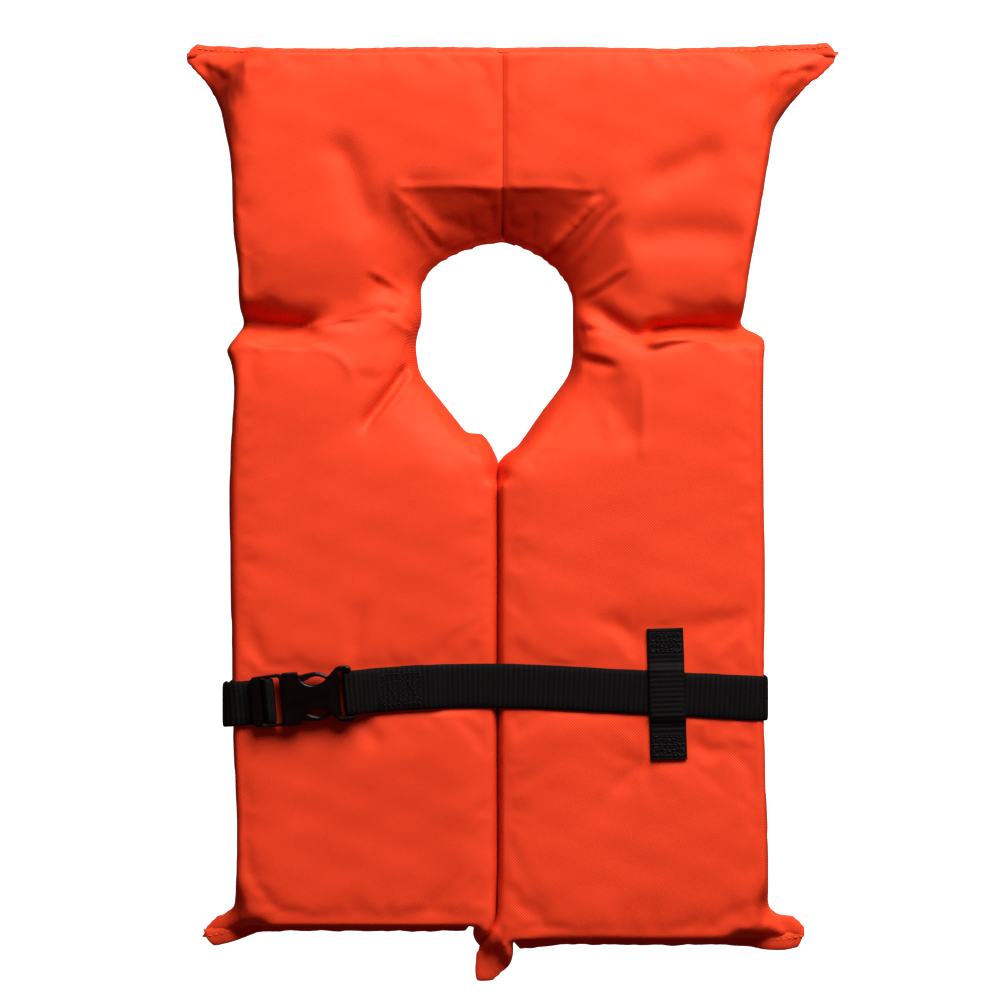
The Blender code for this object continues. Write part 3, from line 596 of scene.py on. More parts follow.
def cover_mesh(cover):
    """The envelope as quads: a net over its field, not yet drawn on to the surface."""
    low = np.array([*cover.outline.min(0), -4.0]) - 2 * NET_STEP
    high = np.array([*cover.outline.max(0), THICKNESS + 4.0]) + 2 * NET_STEP
    counts = np.ceil((high - low) / NET_STEP).astype(int) + 1
    axes = [low[k] + NET_STEP * np.arange(counts[k]) for k in range(3)]
    gx, gy = np.meshgrid(axes[0], axes[1], indexing="ij")
    xy = np.stack([gx.ravel(), gy.ravel()], 1)
    parts = (cover.read(name, xy).reshape(gx.shape)[..., None] for name in SURFACES)
    past = cover.past_seam(np.stack([gx, gy], -1))[..., None]
    values = cover.field_from(axes[2][None, None, :], *parts, past)
    points, faces = surface_net(values, low, NET_STEP)
    return points, faces


def relaxed(points, faces, held, rounds, weight=0.5):
    """Evens the net out: each free point moves part of the way to the middle of its neighbours."""
    edges = np.concatenate([faces[:, [k, (k + 1) % 4]] for k in range(4)])
    edges = np.unique(np.sort(edges, axis=1), axis=0)
    degree = np.bincount(edges.ravel(), minlength=len(points)).astype(float)
    moved = points.copy()
    for k in range(rounds):
        total = np.zeros_like(moved)
        for axis in range(3):
            for here, there in (edges.T, edges.T[::-1]):
                total[:, axis] += np.bincount(here, moved[there, axis], len(moved))
        pull = weight if k % 2 == 0 else -weight * 1.02
        moved += (pull * (1 - held))[:, None] * (total / degree[:, None] - moved)
    return moved


def drawn_on(cover, points, rounds=3):
    """Moves points along the field's slope until they lie on the surface, away from the flat seam."""
    eps = 0.4
    for _ in range(rounds):
        value = cover.field(points)
        slope = np.stack([(cover.field(points + eps * e) - cover.field(points - eps * e)) / (2 * eps)
                          for e in np.eye(3)], 1)
        steep = np.maximum((slope**2).sum(1), 0.5)
        step = -value[:, None] * slope / steep[:, None]
        length = np.linalg.norm(step, axis=1, keepdims=True)
        step *= np.minimum(1.0, 1.5 / np.maximum(length, 1e-6))
        step[cover.past_seam(points) > -2.0] = 0.0
        points = points + step
    return points


# ---- folds and creases


def belt_line(x):
    """Y of the belt's middle on top of the pads: straight through the buckle, then easing over."""
    rise = math.tan(BUCKLE_TILT)
    fall = math.tan(RIGHT_FALL)
    x = np.asarray(x, float)
    along = np.clip(x, BEND_START_X, BEND_END_X) - BEND_START_X
    change = (rise + fall) / (BEND_END_X - BEND_START_X)
    y = MOUTH_Y + rise * (np.minimum(x, BEND_START_X) - MOUTH_X)
    return y + rise * along - change * along**2 / 2 - fall * np.maximum(x - BEND_END_X, 0.0)


def under_line(x):
    """Y of the belt's middle under the pads."""
    left, right = belt_line(-HALF_WIDTH), belt_line(HALF_WIDTH)
    return left + (right - left) * (np.asarray(x, float) + HALF_WIDTH) / (2 * HALF_WIDTH)


class Fold:
    """A soft ridge or groove along a curve, which fades at its ends.

    height is its rise, or its fall if negative, and width its half width. A crease is a
    narrower groove at one side of it: beside is how far off, to the left of the curve's
    way if positive, and crease how deep.
    """

    def __init__(self, points, height, width, beside=0.0, crease=0.0, crease_width=2.2, fade=0.25):
        self.points = points
        self.line = curve_through(points, 4.0)
        self.height, self.width = height, width
        self.beside, self.crease, self.crease_width = beside, crease, crease_width
        self.fade = fade

    def mirrored(self, scale):
        """The same fold on the other side of the jacket, and weaker."""
        points = [(-x, y) for x, y in self.points]
        return Fold(points, scale * self.height, self.width, -self.beside, scale * self.crease,
                    self.crease_width, self.fade)

    def rise(self, xy):
        lift = np.zeros(len(xy))
        reach = 3 * self.width + abs(self.beside) + 3 * self.crease_width
        low, high = self.line.min(0) - reach, self.line.max(0) + reach
        near = ((xy > low) & (xy < high)).all(1)
        if not near.any():
            return lift
        off, along, side = nearest_on_line(xy[near], self.line)
        ends = smoothstep(0.0, self.fade, along) * smoothstep(1.0, 1.0 - self.fade, along)
        past = np.where((along <= 0) | (along >= 1), 0.0, 1.0)
        profile = self.height * np.exp(-((off / self.width) ** 2))
        profile -= self.crease * np.exp(-(((off * side - self.beside) / self.crease_width) ** 2))
        lift[near] = profile * ends * past
        return lift


# The fold between the headrest and the front sections, where the cover sinks between the foams
SHOULDER_FOLDS = [
    Fold([(-160, 109), (-146, 108.5), (-134, 106), (-120, 103.5), (-100, 104)], -14.0, 5.6),
    Fold([(-108, 103), (-95, 105), (-70, 110), (-38, 111)], -3.5, 3.2),
    Fold([(172, 97), (152, 99.5), (136, 102), (118, 103.5), (100, 103.5), (80, 101)], -15.0, 4.6, fade=0.15),
    Fold([(36, 122), (56, 114), (70, 104), (94, 92)], -9.0, 6.0),
    Fold([(-190, 112), (-110, 112), (-40, 116)], -5.0, 26.0, fade=0.3),
    Fold([(190, 106), (110, 108), (40, 114)], -3.0, 24.0, fade=0.3),
]

# Broad forms, made before the fabric is relaxed
BROAD_FOLDS = [
    Fold([(-158, 92), (-138, 96.5), (-121, 97.5), (-103, 101), (-83, 105)], 2.5, 4.5, fade=0.2),
    Fold([(130, 95), (116, 98), (104, 98.5), (92, 94), (82, 92)], 3.0, 4.0, fade=0.2),
    Fold([(-46, 88), (-62, 66), (-80, 40)], -4.0, 5.5),
    Fold([(46, 86), (58, 83), (70, 80)], -2.0, 5.0, fade=0.4),
    Fold([(60, 80), (70, 56), (78, 30)], -2.6, 9.0),
    Fold([(-103, 212), (-88, 201), (-77, 170), (-74, 150)], -3.0, 8.0),
    Fold([(78, 182), (104, 194), (134, 208)], -3.2, 9.0, fade=0.3),
    Fold([(-42, 121), (-58, 126), (-80, 125)], -2.8, 7.0, fade=0.3),
    Fold([(68, 148), (100, 157), (150, 152)], -3.2, 11.0),
    Fold([(-78, -52), (-81, -72), (-85, -94)], -1.5, 5.5, fade=0.4),
    Fold([(-82, -116), (-75, -128), (-64, -142)], -1.6, 6.0, fade=0.4),
    Fold([(86, -84), (74, -72), (60, -58)], -1.5, 6.5, fade=0.4),
    Fold([(88, -143), (76, -154), (64, -168)], -1.5, 6.5, fade=0.4),
    Fold([(108, -130), (118, -139), (130, -146)], -1.2, 5.5, fade=0.4),
    Fold([(-62, 185), (-46, 168), (-30, 152)], 3.0, 6.0),
    Fold([(60, 181), (43, 163), (27, 145)], 3.0, 6.0),
]

# Creases and puckers, pressed into the finished surface
FINE_FOLDS = [
    Fold([(-149, 93.5), (-138.5, 98.4), (-121, 99.6), (-103, 104), (-83, 108.5), (-46, 109.6)], 1.6, 2.8,
         fade=0.15),
    Fold([(-140, 94), (-122, 94), (-102, 89.5)], -1.8, 2.2, fade=0.4),
    Fold([(-151, 92), (-128, 91), (-102, 90), (-88, 83), (-81, 68)], 0.8, 2.4, fade=0.2),
    Fold([(-48.5, 86), (-60, 68), (-79.6, 42)], -2.6, 2.4, beside=4.0, crease=-1.8, crease_width=2.6),
    Fold([(128, 96), (116, 99), (104, 100), (92, 95), (82, 94), (78, 98)], 1.6, 2.4, fade=0.2),
    Fold([(80, 91), (90, 90.5), (104, 93.5), (120, 97)], -2.0, 2.0, fade=0.35),
    Fold([(42, 86), (55, 84), (72, 79)], -1.6, 2.6, beside=4.4, crease=-1.0, crease_width=3.0, fade=0.35),
    Fold([(45, 101), (57, 102), (72, 97)], -1.5, 2.4),
    Fold([(83.5, 82), (84, 55), (83, 24)], 0.9, 3.0, fade=0.2),
    Fold([(-62, 184), (-45, 167), (-30, 151)], 1.0, 2.6, fade=0.12),
    Fold([(59, 179), (43, 162), (26, 144)], 1.2, 2.4, beside=3.5, crease=1.1, crease_width=2.0, fade=0.12),
    Fold([(74, 175), (60, 160), (44, 138)], 1.1, 2.6, beside=-3.8, crease=1.0, crease_width=2.2),
    Fold([(76, 140), (62, 130), (45, 121)], 1.1, 2.6, beside=3.5, crease=1.0),
    Fold([(-76, 138), (-60, 128), (-46, 118)], 1.0, 2.6, beside=-3.5, crease=0.9),
    Fold([(-70, 112), (-58, 106), (-47, 99)], 0.9, 2.2, beside=3.0, crease=0.9),
    Fold([(-62, 184), (-30, 184.5), (0, 184)], 0.7, 2.4, fade=0.1),
    Fold([(6, 184), (30, 184), (60, 181)], 0.7, 2.4, fade=0.1),
    Fold([(-176, 259), (-166, 252), (-158, 242)], -2.6, 4.6),
    Fold([(188, 254), (176, 252), (160, 247)], -1.8, 3.4, fade=0.3),
    Fold([(-165, 262), (-152, 257), (-140, 252)], 0.8, 3.0),
    Fold([(-3, 176), (-2.5, 168), (-3, 158)], -1.3, 1.8, fade=0.35),
    Fold([(7.5, 178), (7, 168), (8.5, 158)], -1.1, 1.8, fade=0.35),
    Fold([(-17, 170), (-15, 163), (-14.5, 154)], -0.8, 2.0, fade=0.35),
    Fold([(22, 172), (20.5, 162), (19, 151)], -0.8, 2.0, fade=0.35),
    Fold([(-14, 30), (-11, 36), (-8, 41)], 1.4, 3.2),
    Fold([(8, 26), (7.5, 31), (6.5, 34)], 1.0, 2.6),
    Fold([(-160, -246), (-152, -241), (-143, -236)], 1.2, 2.6),
    Fold([(168, -249), (160, -244), (152, -240)], 1.2, 2.6),
    Fold([(-1, -238), (-3, -250), (-7, -262)], 1.4, 2.6, beside=4.0, crease=1.2),
]

UNDER_FOLDS = [fold.mirrored(UNDERSIDE) for fold in FINE_FOLDS if fold.line[:, 1].min() > 20]


SURFACES = ("top", "bottom", "signed")


class Map:
    """Values over the plan of the jacket, read between the points of a fine grid."""

    def __init__(self, low, high):
        self.low = np.array(low, float)
        self.counts = np.ceil((np.array(high) - self.low) / MAP_STEP).astype(int) + 1
        x = self.low[0] + MAP_STEP * np.arange(self.counts[0])
        y = self.low[1] + MAP_STEP * np.arange(self.counts[1])
        gx, gy = np.meshgrid(x, y, indexing="ij")
        self.xy = np.stack([gx.ravel(), gy.ravel()], 1)
        self.values = {}

    def keep(self, name, values):
        self.values[name] = values.reshape(self.counts)

    def read(self, name, xy):
        at = np.clip((xy - self.low) / MAP_STEP, 0, self.counts - 1.001)
        cell = at.astype(int)
        (i, j), (u, v) = cell.T, (at - cell).T
        grid = self.values[name]
        lower = mixed(grid[i, j], grid[i + 1, j], u)
        upper = mixed(grid[i, j + 1], grid[i + 1, j + 1], u)
        return mixed(lower, upper, v)


class Cover:
    """One half of the jacket's envelope: its outline, its foam and the surface that they give."""

    def __init__(self, top, side, hem, slit, neck, foams, hem_z, slit_ear_z):
        self.sign = -1 if side[0][0] < 0 else 1
        stub = BACK_SEAM_X - SEAM_STUB * self.sign
        neck_end = neck[-1][1] - 1.5
        runs = [(stub, top[0][1])] + list(top) + list(side) + list(hem) + list(slit) + list(neck)
        self.outline = curve_through(runs + [(stub, neck_end)], 3.0)
        self.foams = [np.array(f, float) for f in foams]
        self.hem_z = hem_z
        self.slit_ear_z = slit_ear_z
        self.map = Map(self.outline.min(0) - 8, self.outline.max(0) + 8)
        share, signed = self.share()
        for name, values in zip(SURFACES, (*self.surfaces(share), signed)):
            self.map.keep(name, values)
        for name, folds in (("broad", BROAD_FOLDS), ("fine", FINE_FOLDS), ("under", UNDER_FOLDS)):
            self.map.keep(name, self.risen(folds))

    def risen(self, folds):
        return sum(fold.rise(self.map.xy) for fold in folds)

    def middle(self, xy):
        """Height of the sewn edges."""
        x, y = xy[:, 0], xy[:, 1]
        low = smoothstep(-205.0, -236.0, y)
        at_slit = smoothstep(40.0, 14.0, np.abs(x))
        at_side = smoothstep(132.0, 158.0, np.abs(x))
        hem = self.hem_z + (self.slit_ear_z - self.hem_z) * at_slit + (HEM_EAR_Z - self.hem_z) * at_side
        return MID_Z + (hem - MID_Z) * low

    def edge_height(self, point):
        """Height of the sewn edge at one point of the plan."""
        return float(self.middle(np.array([point]))[0])

    def share(self):
        """How full the cover is over its plan, 1 over the foam and 0 at the sewn edge.

        The second map is the distance inside the sewn edge.
        """
        xy = self.map.xy
        x, y = xy.T
        edge, _, _ = nearest_on_line(xy, self.outline)
        within = inside(xy, self.outline)
        to_foam = np.full(len(xy), np.inf)
        for foam in self.foams:
            gap, _, _ = nearest_on_line(xy, np.vstack([foam, foam[:1]]))
            to_foam = np.minimum(to_foam, np.where(inside(xy, foam), 0.0, gap))
        span = np.maximum(edge + to_foam, 0.1)
        t = np.where(within, np.clip(edge / span, 0.0, 1.0), 0.0)
        near_neck = smoothstep(104.0, 92.0, np.abs(x)) * smoothstep(12.0, 26.0, y)
        near_neck *= smoothstep(200.0, 186.0, y)
        above = smoothstep(104.0, 130.0, y)
        neck = mixed(bulging(t, NECK_BULGE), bulging(t, NAPE_BULGE), above)
        at_fold = smoothstep(60.0, 84.0, y) * smoothstep(150.0, 132.0, y)
        outer = t ** (1.75 - 0.75 * smoothstep(200.0, 230.0, y) - 1.15 * at_fold)
        wide = mixed(outer, neck, near_neck)
        tips = smoothstep(226.0, 242.0, y) + smoothstep(-222.0, -232.0, y)
        tips *= smoothstep(145.0, 152.0, np.abs(x))
        wide_share = np.maximum(smoothstep(10.0, 24.0, span), tips)
        full = mixed(bulging(t, FRONT_BULGE), wide, wide_share)
        full = self.softened(full, within & (near_neck > 0.02))
        ears = smoothstep(200.0, 240.0, y) + smoothstep(-212.0, -236.0, y)
        ears *= smoothstep(128.0, 152.0, np.abs(x))
        full = mixed(full, self.softened(full, within & (ears > 0)), ears)
        return self.nape(full, xy, within), np.where(within, edge, -edge)

    def nape(self, full, xy, within):
        """The slope behind the neck: one flat face from the foam's edge down to the seam."""
        x, y = xy.T
        foot = np.interp(x, *NAPE_FOOT)
        slope = np.clip((y - foot) / (NAPE_TOP_Y - foot), 0.0, 1.0)
        left = (x - np.interp(y, *NAPE_LEFT)) * 0.8
        right = (np.interp(y, *NAPE_RIGHT) - x) * 0.8
        share = smoothstep(-2.5, 2.5, np.minimum(left, right)) * within
        share *= (y > NECK_CENTRE_Y) * smoothstep(NAPE_TOP_Y + 3.0, NAPE_TOP_Y - 1.0, y)
        return mixed(full, slope, share)

    def softened(self, values, where, rounds=40):
        """Rounds off the mitred corners of the slopes by averaging neighbours."""
        grid = values.reshape(self.map.counts)
        chosen = where.reshape(self.map.counts)
        for _ in range(rounds):
            around = sum(np.roll(grid, step, axis) for axis in (0, 1) for step in (1, -1)) / 4
            grid = np.where(chosen, 0.3 * grid + 0.7 * around, grid)
        return grid.ravel()

    def surfaces(self, share):
        """Top and bottom of the cover."""
        valley = self.risen(SHOULDER_FOLDS)
        middle = self.middle(self.map.xy)
        top = middle + (THICKNESS - middle + valley) * share
        bottom = middle - (middle + UNDERSIDE * valley) * share
        return np.maximum(top, middle + RIM), np.minimum(bottom, middle - RIM)

    def read(self, name, points):
        return self.map.read(name, points[:, :2])

    def field(self, points):
        """Below 0 inside the cover, in mm or so."""
        parts = (self.read(name, points) for name in SURFACES)
        return self.field_from(points[:, 2], *parts, self.past_seam(points))

    def past_seam(self, points):
        """How far points lie past the back seam, which only the headrest has."""
        past = (BACK_SEAM_X - points[..., 0]) * self.sign
        return np.where(points[..., 1] > NECK_CENTRE_Y, past, -99.0)

    def field_from(self, z, top, bottom, signed, past):
        through = np.maximum(z - top, bottom - z)
        beside = np.hypot(np.maximum(through, 0.0), np.maximum(-signed, 0.0))
        solid = np.where(signed > 0, through, beside)
        return np.maximum(solid, past + 0.06)


def undulation(points, size, seed):
    """Smooth unevenness from about -1 to 1: fixed waves in many directions, size mm or so apart."""
    chosen = np.random.default_rng(seed)
    total = np.zeros(len(points))
    for _ in range(WAVES):
        way = chosen.normal(size=3)
        way *= 2 * math.pi / (size * chosen.uniform(0.8, 2.2) * np.linalg.norm(way))
        total += np.sin(points @ way + chosen.uniform(0, 2 * math.pi))
    return total / 4.0


def normals(points, faces):
    """Outward unit normals at the vertices of a mesh of quads."""
    a, b, c, d = (points[faces[:, k]] for k in range(4))
    flat = np.cross(c - a, d - b)
    total = np.zeros_like(points)
    for k in range(4):
        for axis in range(3):
            total[:, axis] += np.bincount(faces[:, k], flat[:, axis], len(points))
    return total / np.maximum(np.linalg.norm(total, axis=1, keepdims=True), 1e-9)


def clear_of_belt(points):
    """Keeps the cover under the belt on top, over it below and inside it at the sides."""
    x, y, z = points.T.copy()
    over = smoothstep(22.0, 14.0, np.abs(y - belt_line(x)))
    tab_y = (TAB_TOP[1] + TAB_BOTTOM[1]) / 2
    beside_tab = np.maximum(np.abs(x - TAB_TOP[0] - 1.2) - TAB_WIDTH / 2, 0.0)
    past_tab = np.maximum(np.abs(y - tab_y) - (TAB_TOP[1] - TAB_BOTTOM[1]) / 2, 0.0)
    over = np.maximum(over, smoothstep(9.0, 1.5, np.hypot(beside_tab, past_tab)))
    under = smoothstep(22.0, 15.0, np.abs(y - under_line(x)))
    ceiling = LOW_LAYER_Z - WEBBING / 2 - BELT_GAP + 6.0 * (1 - over)
    floor = GROUND_GAP + (UNDER_LAYER_Z + WEBBING / 2 + BELT_GAP - GROUND_GAP) * under
    side = BELT_SIDE_X - WEBBING / 2 - BELT_GAP + 6.0 * (1 - over)
    z = np.where(z > MID_Z, np.minimum(z, np.where(over > 0, ceiling, 90.0)), np.maximum(z, floor))
    x = np.where(over > 0, np.clip(x, -side, side), x)
    return np.stack([x, y, z], 1)


# ---- the covers


def relax_as_cloth(made, pinned):
    """Blender's cloth under a little air pressure, slightly slack, applied to the mesh and capped."""
    before = coordinates(made.data)
    group = made.vertex_groups.new(name="pinned")
    group.add(np.nonzero(pinned)[0].tolist(), 1.0, "REPLACE")
    cloth = made.modifiers.new("cloth", "CLOTH")
    settings = cloth.settings
    settings.quality = 6
    settings.mass = 0.2
    settings.tension_stiffness = settings.compression_stiffness = 20.0
    settings.shear_stiffness = 8.0
    settings.bending_stiffness = 0.4
    settings.shrink_min = -0.007
    settings.use_pressure = True
    settings.uniform_pressure_force = 2.0
    settings.effector_weights.gravity = 0.0
    settings.vertex_group_mass = group.name
    cloth.collision_settings.use_collision = False
    scene = bpy.context.scene
    cloth.point_cache.frame_start, cloth.point_cache.frame_end = 1, CLOTH_FRAMES
    for step in range(1, CLOTH_FRAMES + 1):
        scene.frame_set(step)
    seen = made.evaluated_get(bpy.context.evaluated_depsgraph_get())
    after = coordinates(seen.data)
    made.modifiers.clear()
    made.vertex_groups.clear()
    scene.frame_set(1)
    moved = after - before
    length = np.linalg.norm(moved, axis=1, keepdims=True)
    moved *= CLOTH_CAP * np.tanh(length / CLOTH_CAP) / np.maximum(length, 1e-9)
    set_coordinates(made.data, before + moved)


def quads_of(mesh):
    loops = np.empty(len(mesh.loops), np.int32)
    mesh.loops.foreach_get("vertex_index", loops)
    return loops.reshape(-1, 4)


def pinned_points(cover, points):
    """Which points the cloth holds still: by the sewn edges, the back seam, the belt and the tab."""
    x, y = points[:, 0], points[:, 1]
    belted = np.abs(y - belt_line(x)) < PINNED_BESIDE_BELT
    tabbed = (y > TAB_BOTTOM[1] - PINNED_PAST_TAB) & (y < TAB_TOP[1] + PINNED_PAST_TAB)
    tabbed &= np.abs(x - TAB_TOP[0]) < TAB_WIDTH * 0.8
    return belted | tabbed | (cover.read("signed", points) < np.where(y > 80, 3.0, 8.0))


def sewn_cover(name, cover, material):
    """A half of the cover: netted, evened out, relaxed as cloth, then creased."""
    points, faces = cover_mesh(cover)
    points = drawn_on(cover, points)
    near_seam = cover.past_seam(points) > -2.6
    points = relaxed(points, faces, near_seam.astype(float), 4)
    signed = cover.read("signed", points)
    facing = normals(points, faces)
    on_top = smoothstep(0.25, 0.75, facing[:, 2])
    below = smoothstep(-0.25, -0.75, facing[:, 2])
    lift = cover.read("broad", points) * smoothstep(0.0, 12.0, signed)
    points[:, 2] += lift * on_top - 0.6 * np.minimum(lift, 2.0) * below
    made = object_of(name, clear_of_belt(points), faces, material)
    relax_as_cloth(made, pinned_points(cover, points) | near_seam)
    subdivide(made)
    points, faces = coordinates(made.data), quads_of(made.data)
    held = smoothstep(2.0, 6.0, cover.read("signed", points))
    points = relaxed(points, faces, np.where(cover.past_seam(points) > -3.0, 1.0, held), RIM_ROUNDS)
    facing = normals(points, faces)
    signed = cover.read("signed", points)
    on_top = smoothstep(0.2, 0.7, facing[:, 2])
    below = smoothstep(-0.2, -0.7, facing[:, 2])
    fade = smoothstep(0.0, 5.0, signed)
    lift = cover.read("fine", points) * on_top + cover.read("under", points) * below
    points += facing * (lift * fade)[:, None]
    seam = np.exp(-(((points[:, 0] - BACK_SEAM_X) / 1.5) ** 2)) * (points[:, 1] > NECK_CENTRE_Y)
    points += facing * (-0.9 * seam * (np.abs(facing[:, 0]) < 0.7))[:, None]
    sway = 0.45 * undulation(points, 55.0, 1) + 0.16 * undulation(points, 17.0, 2)
    points += facing * (sway * fade)[:, None]
    middle = cover.middle(points)
    off = points[:, 2] - middle
    filled = smoothstep(6.0, 16.0, signed)
    side = np.clip(facing[:, 2] * 4.0, -1.0, 1.0)
    least = HALF_FILLED * filled * np.abs(side) - THICKNESS * (1 - filled)
    off = np.where(side > 0, np.maximum(off, least), np.minimum(off, -least))
    points[:, 2] = middle + off * (SEWN_THIN + (1 - SEWN_THIN) * smoothstep(1.0, 5.0, np.abs(off)))
    set_coordinates(made.data, clear_of_belt(points))
    return made


LEFT = Cover(TOP_LEFT, LEFT_SIDE, LEFT_HEM, LEFT_SLIT, LEFT_NECK,
             (LEFT_FRONT_FOAM, LEFT_HEADREST_FOAM), hem_z=21.0, slit_ear_z=15.0)
RIGHT = Cover(TOP_RIGHT, RIGHT_SIDE, RIGHT_HEM, RIGHT_SLIT, RIGHT_NECK,
              (RIGHT_FRONT_FOAM, RIGHT_HEADREST_FOAM), hem_z=25.0, slit_ear_z=47.0)


def finish_cover(made, side):
    """Hides the CAD covers of this side, which this cover stands for, and bakes its transform into the mesh.
    """
    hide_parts(f"{side}_front_cover", f"headrest_cover_{side}")
    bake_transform(made)


# ---- sewn lips and stitching


def strip(name, line, inner, outer, z_of, material, thick=1.7, wave=0.5, seed=0):
    """A flat sewn strip along a plan curve, from inner to outer mm off it, its free edge wavy."""
    tangent = np.gradient(line, axis=0)
    tangent /= np.linalg.norm(tangent, axis=1, keepdims=True)
    outward = np.stack([tangent[:, 1], -tangent[:, 0]], 1)
    steps = distances(line)
    ends = np.minimum(1.0, np.minimum(steps, steps[-1] - steps) / 5.0) ** 0.5
    section = [(0.0, -1.0), (0.35, -0.95), (0.7, -0.9), (0.93, -0.72), (1.0, 0.0), (0.93, 0.72), (0.7, 0.9),
               (0.35, 0.95), (0.0, 1.0)]
    points = []
    for k, (at, out) in enumerate(zip(line, outward)):
        ripple = noise.noise(Vector((steps[k] / 9.0, seed, 0.0)))
        fine = noise.noise(Vector((steps[k] / 3.5, seed + 5, 0.0)))
        width = inner + (outer - inner) * ends[k] + (wave * ripple + 0.4 * wave * fine) * ends[k]
        z = z_of(at) + 0.9 * ripple
        for across, up in section:
            off = inner + (width - inner) * across
            xy = at + out * off
            lift = up * thick / 2 * (0.55 + 0.45 * ends[k])
            points.append((xy[0], xy[1], z + lift + 0.5 * fine * across))
    made = object_of(name, points, tube_faces(len(line), len(section)), material)
    fix_normals(made)
    return made


def stitch_row(name, path, up, material, length=2.4, gap=1.1, radius=0.32):
    """Thread showing as a row of short stitches along a path; up is the way out of the cloth."""
    path = np.array(path, float)
    steps = distances(path)
    bm = bmesh.new()
    for start in np.arange(gap, steps[-1] - length, length + gap):
        ends = (start, start + length)
        a, b = (np.array([np.interp(s, steps, path[:, k]) for k in range(3)]) for s in ends)
        middle, run = (a + b) / 2, b - a
        made = bmesh.ops.create_uvsphere(bm, u_segments=8, v_segments=6, radius=1.0)
        run_unit = Vector(run).normalized()
        side = Vector(up).cross(run_unit).normalized()
        basis = Matrix((run_unit * length / 2, side * radius, run_unit.cross(side) * radius)).transposed()
        for vertex in made["verts"]:
            vertex.co = basis @ vertex.co + Vector(middle)
    bmesh.ops.recalc_face_normals(bm, faces=bm.faces)
    bm.transform(Matrix.Scale(MM, 4))
    bm.transform(Matrix.Translation((SHIFT_X, SHIFT_Y, 0.0)))
    return object_from(bm, name, material)


# ---- webbing


def rounded_path(corners, longest=0.75, steps=8):
    """A path in X and Z through corners (x, z, radius), with arcs at them and short runs between."""
    path = [Vector(corners[0][:2])]
    for before, (x, z, radius), after in zip(corners, corners[1:], corners[2:]):
        corner = Vector((x, z))
        to_before = (Vector(before[:2]) - corner).normalized()
        to_after = (Vector(after[:2]) - corner).normalized()
        half_angle = to_before.angle(to_after) / 2
        middle = corner + (to_before + to_after).normalized() * radius / math.sin(half_angle)
        start = corner + to_before * radius / math.tan(half_angle)
        end = corner + to_after * radius / math.tan(half_angle)
        for k in range(steps + 1):
            spoke = (start - middle).lerp(end - middle, k / steps)
            path.append(middle + spoke.normalized() * radius)
    path.append(Vector(corners[-1][:2]))
    full = [path[0]]
    for here, there in zip(path, path[1:]):
        pieces = max(1, math.ceil((there - here).length / longest))
        full += [here.lerp(there, (k + 1) / pieces) for k in range(pieces)]
    return [p for k, p in enumerate(full) if k == 0 or (p - full[k - 1]).length > 0.05]


def on_axis(s):
    """X of a point at s along the buckle's axis."""
    return MOUTH_X + s * math.cos(BUCKLE_TILT)


def belt_across(point):
    """The way the belt's width lies: square to the buckle in it, and across the jacket elsewhere."""
    if on_axis(ADJUSTER_END) < point[0] < BEND_START_X:
        return Vector((-math.sin(BUCKLE_TILT), math.cos(BUCKLE_TILT), 0.0))
    return Vector((0.0, 1.0, 0.0))


def belt_path(corners):
    """Over the pads the path follows the belt's line, and below them the straight line back."""
    path = []
    for point in rounded_path(corners):
        line = belt_line if point.y > MID_Z else under_line
        path.append(Vector((point.x, float(line(point.x)), point.y)))
    return path


def webbing(name, path, across, width):
    """Woven strap along a path: rounded selvedges, ribs across it and a slight unevenness."""
    sides = 9
    section = [(math.cos(math.pi * k / sides), 1) for k in range(sides + 1)]
    section += [(-math.cos(math.pi * k / sides), -1) for k in range(sides + 1)]
    points, uvs = [], []
    travelled = 0.0
    for k, point in enumerate(path):
        ahead = path[min(k + 1, len(path) - 1)] - path[max(k - 1, 0)]
        along = ahead.normalized()
        wide = across(point)
        sideways = (wide - along * along.dot(wide)).normalized()
        up = sideways.cross(along)
        travelled += (point - path[k - 1]).length if k else 0.0
        rib = math.cos(2 * math.pi * travelled / RIB_PITCH)
        edge = 0.25 * noise.noise(Vector((travelled / 14.0, width, 0.0)))
        for a, face in section:
            thick = WEBBING / 2 * (1 - abs(a) ** 10) ** 0.5 * (0.88 + 0.12 * rib)
            points.append(point + sideways * a * (width / 2 + edge) + up * face * thick)
            uvs.append((a * width / 2 * MM, travelled * MM))
    made = object_of(name, [tuple(p) for p in points], tube_faces(len(path), len(section)), STRAP)
    layer = made.data.uv_layers.new(name="weave")
    for loop in made.data.loops:
        layer.data[loop.index].uv = uvs[loop.vertex_index]
    fix_normals(made, weld=0.02 * MM)
    made.data.shade_smooth()
    return made


def belt():
    """Sewn back on itself round the buckle's end bar, over the pads and back beneath."""
    turn = END_BAR_HALF_THICK + LAYER_GAP + WEBBING / 2
    left = on_axis(END_BAR_S) - 1.9 - LAYER_GAP - WEBBING / 2
    right = on_axis(FEMALE_END) + 1.4
    corners = [
        (LOOP_END_X, LOW_LAYER_Z, 0),
        (right + 7, LOW_LAYER_Z, 3),
        (right, BUCKLE_Z - turn, 3),
        (left, BUCKLE_Z - turn, turn - 1.0),
        (left, BUCKLE_Z + turn, turn - 1.0),
        (right + 1, BUCKLE_Z + turn, 3),
        (right + 13, HIGH_LAYER_Z, 5),
        (LOOP_END_X + 1, HIGH_LAYER_Z, 5),
        (LOOP_END_X + 9, LOW_LAYER_Z, 5),
        (BELT_SIDE_X, LOW_LAYER_Z, 8),
        (BELT_SIDE_X, UNDER_LAYER_Z, 8),
        (BELT_JOIN_X, UNDER_LAYER_Z, 0),
    ]
    made = webbing("belt", belt_path(corners), belt_across, BELT_WIDTH)
    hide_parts("belt_webbing")
    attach(made, "fronts")


